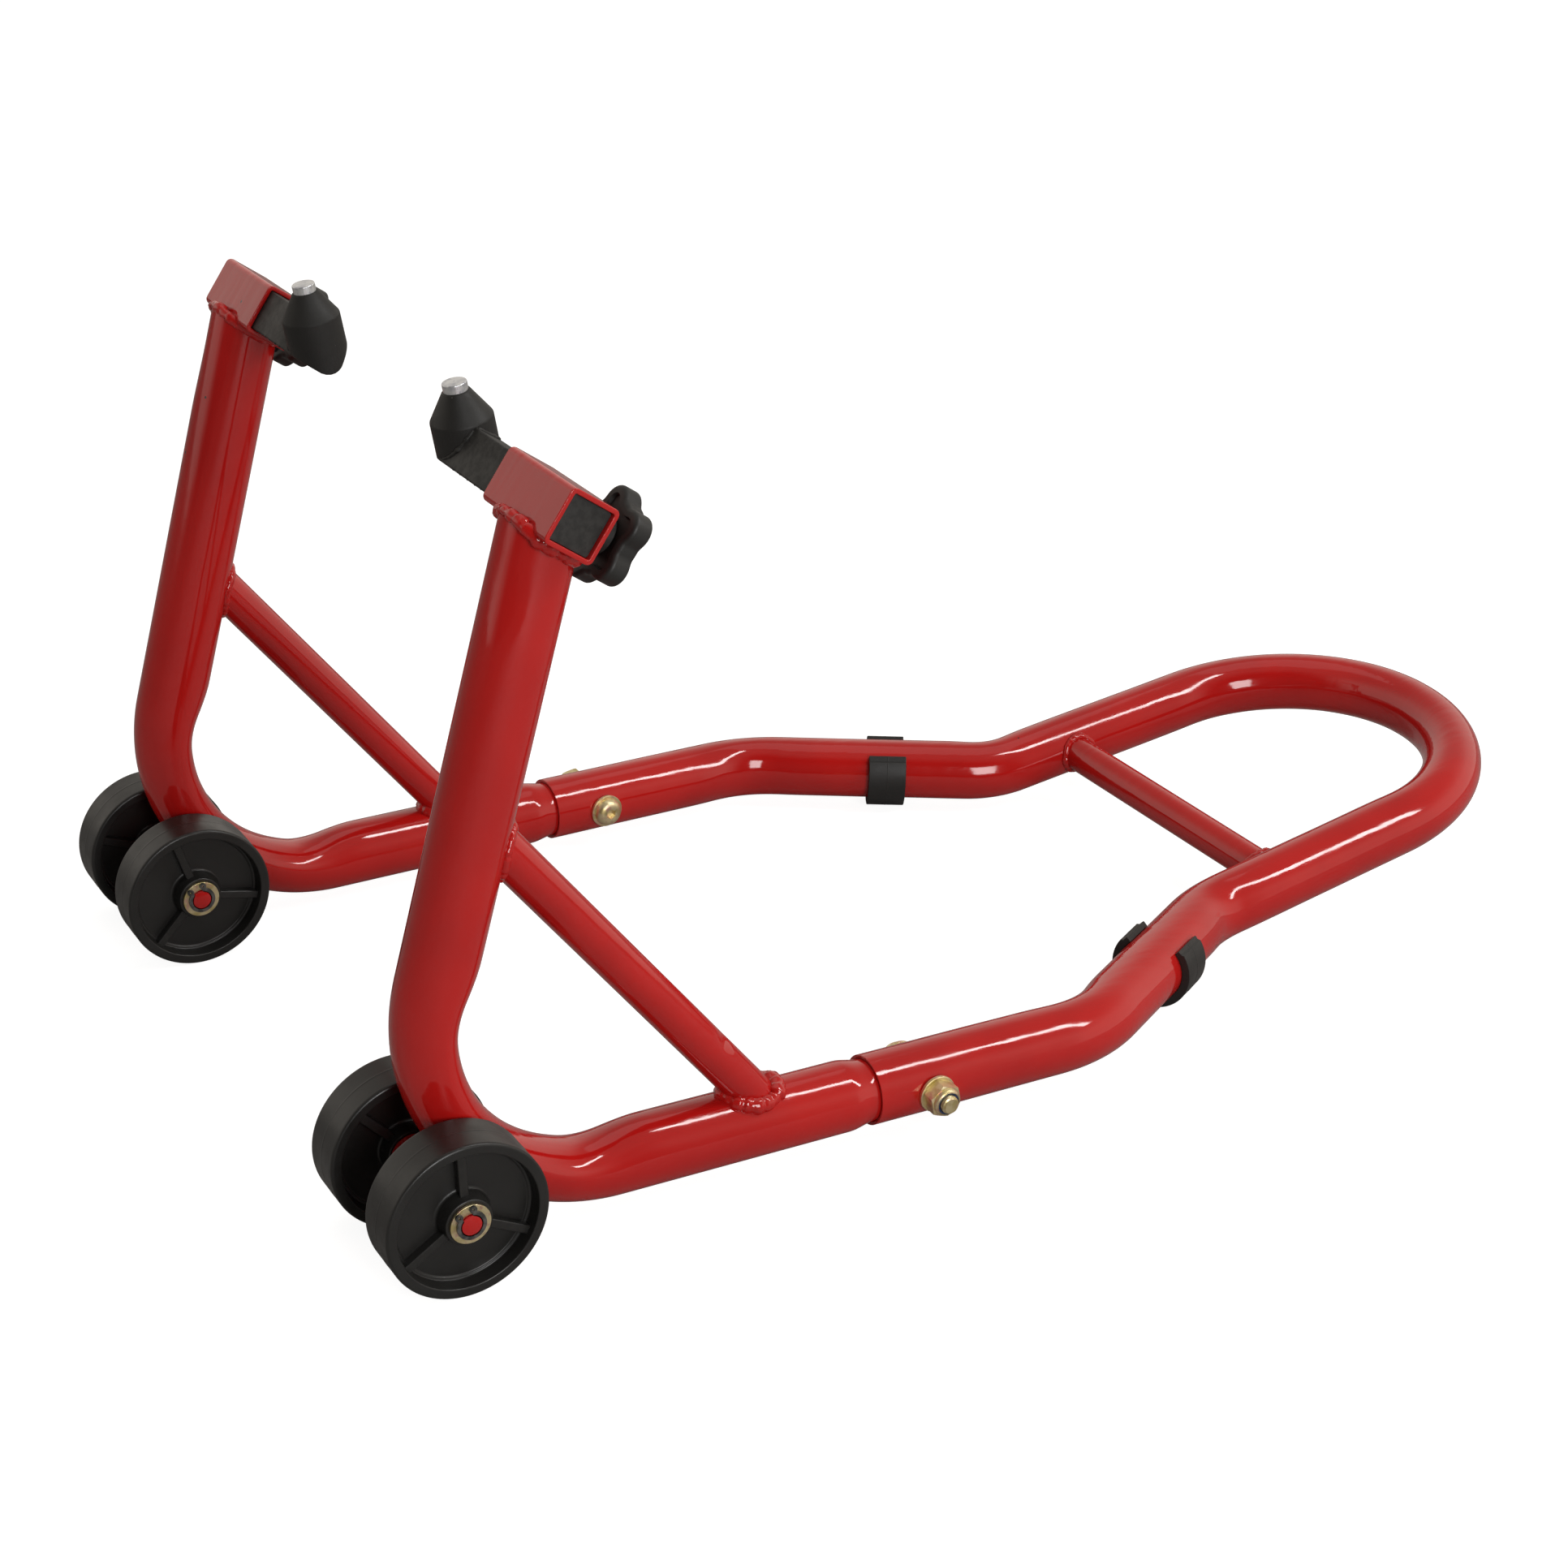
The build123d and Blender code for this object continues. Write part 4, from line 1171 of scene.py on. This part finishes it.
def makeFloor():
    shape = bmesh.new()
    bmesh.ops.create_grid(shape, x_segments=2, y_segments=2, size=studio["floorSize"] / 2)
    mesh = bpy.data.meshes.new("studioFloor")
    shape.to_mesh(mesh)
    shape.free()
    material, tree, shader, _ = newMaterial("paleFloor")
    # it glows for the camera only, so the paint reflects a darker floor than the one seen
    paths = tree.nodes.new("ShaderNodeLightPath")
    glow = spread(tree, paths.outputs["Is Camera Ray"], 0.0, 1.0, 0.0, studio["floorGlow"])
    giveAll(tree, shader, {"Base Color": studio["floor"], "Emission Color": (1, 1, 1), "Emission Strength": glow,
                           "Roughness": 0.9})
    mesh.materials.append(material)
    floor = bpy.data.objects.new("studioFloor", mesh)
    scene.collection.objects.link(floor)


def cameraAxes():
    azimuth, elevation, roll = (math.radians(cameraPlace[key]) for key in ("azimuth", "elevation", "roll"))
    forward = Vector((-math.sin(azimuth) * math.cos(elevation), math.cos(azimuth) * math.cos(elevation),
                      -math.sin(elevation)))
    right = Vector((math.cos(azimuth), math.sin(azimuth), 0))
    up = right.cross(forward)
    return (forward, right * math.cos(roll) + up * math.sin(roll), up * math.cos(roll) - right * math.sin(roll))


def makeCamera():
    forward, right, up = cameraAxes()
    data = bpy.data.cameras.new("mainCamera")
    data.lens = cameraPlace["lens"]
    data.sensor_width = 36
    data.clip_end = 200
    camera = bpy.data.objects.new("mainCamera", data)
    matrix = Matrix((right, up, -forward)).transposed().to_4x4()
    matrix.translation = Vector(cameraPlace["aim"]) - forward * cameraPlace["distance"]
    camera.matrix_world = matrix
    scene.collection.objects.link(camera)
    scene.camera = camera


def softBox(name, direction, distance, size, power):
    light = bpy.data.lights.new(name, "AREA")
    light.shape = "RECTANGLE"
    light.size, light.size_y = size
    light.energy = power
    lamp = bpy.data.objects.new(name, light)
    way = Vector(direction).normalized()
    turn = way.to_track_quat("Z", "Y").to_matrix().to_4x4()
    lamp.matrix_world = Matrix.Translation(Vector((0, 0, 0.15)) + way * distance) @ turn
    scene.collection.objects.link(lamp)


def makeWorld():
    # a pale room that is darker on the camera's side and overhead
    world = bpy.data.worlds.new("studioRoom")
    world.use_nodes = True
    tree = world.node_tree
    background = tree.nodes["Background"]
    background.inputs["Color"].default_value = (*studio["worldColour"], 1)
    place = tree.nodes.new("ShaderNodeTexCoord")
    product = tree.nodes.new("ShaderNodeVectorMath")
    product.operation = "DOT_PRODUCT"
    tree.links.new(place.outputs["Generated"], product.inputs[0])
    forward = cameraAxes()[0]
    product.inputs[1].default_value = Vector((-forward.x, -forward.y, 0)).normalized()
    shade = spread(tree, product.outputs["Value"], 0.3, 0.7, studio["world"], studio["dark"])
    height = tree.nodes.new("ShaderNodeSeparateXYZ")
    tree.links.new(place.outputs["Generated"], height.inputs["Vector"])
    lid = spread(tree, height.outputs["Z"], 0.35, 0.75, 1.0, studio["zenith"])
    tree.links.new(maths(tree, "MULTIPLY", shade, lid), background.inputs["Strength"])
    scene.world = world


makeFloor()
makeCamera()
makeWorld()
for boxName, values in softBoxes.items():
    softBox(boxName, *values)
scene.view_settings.view_transform = "Standard"
print("studio done")
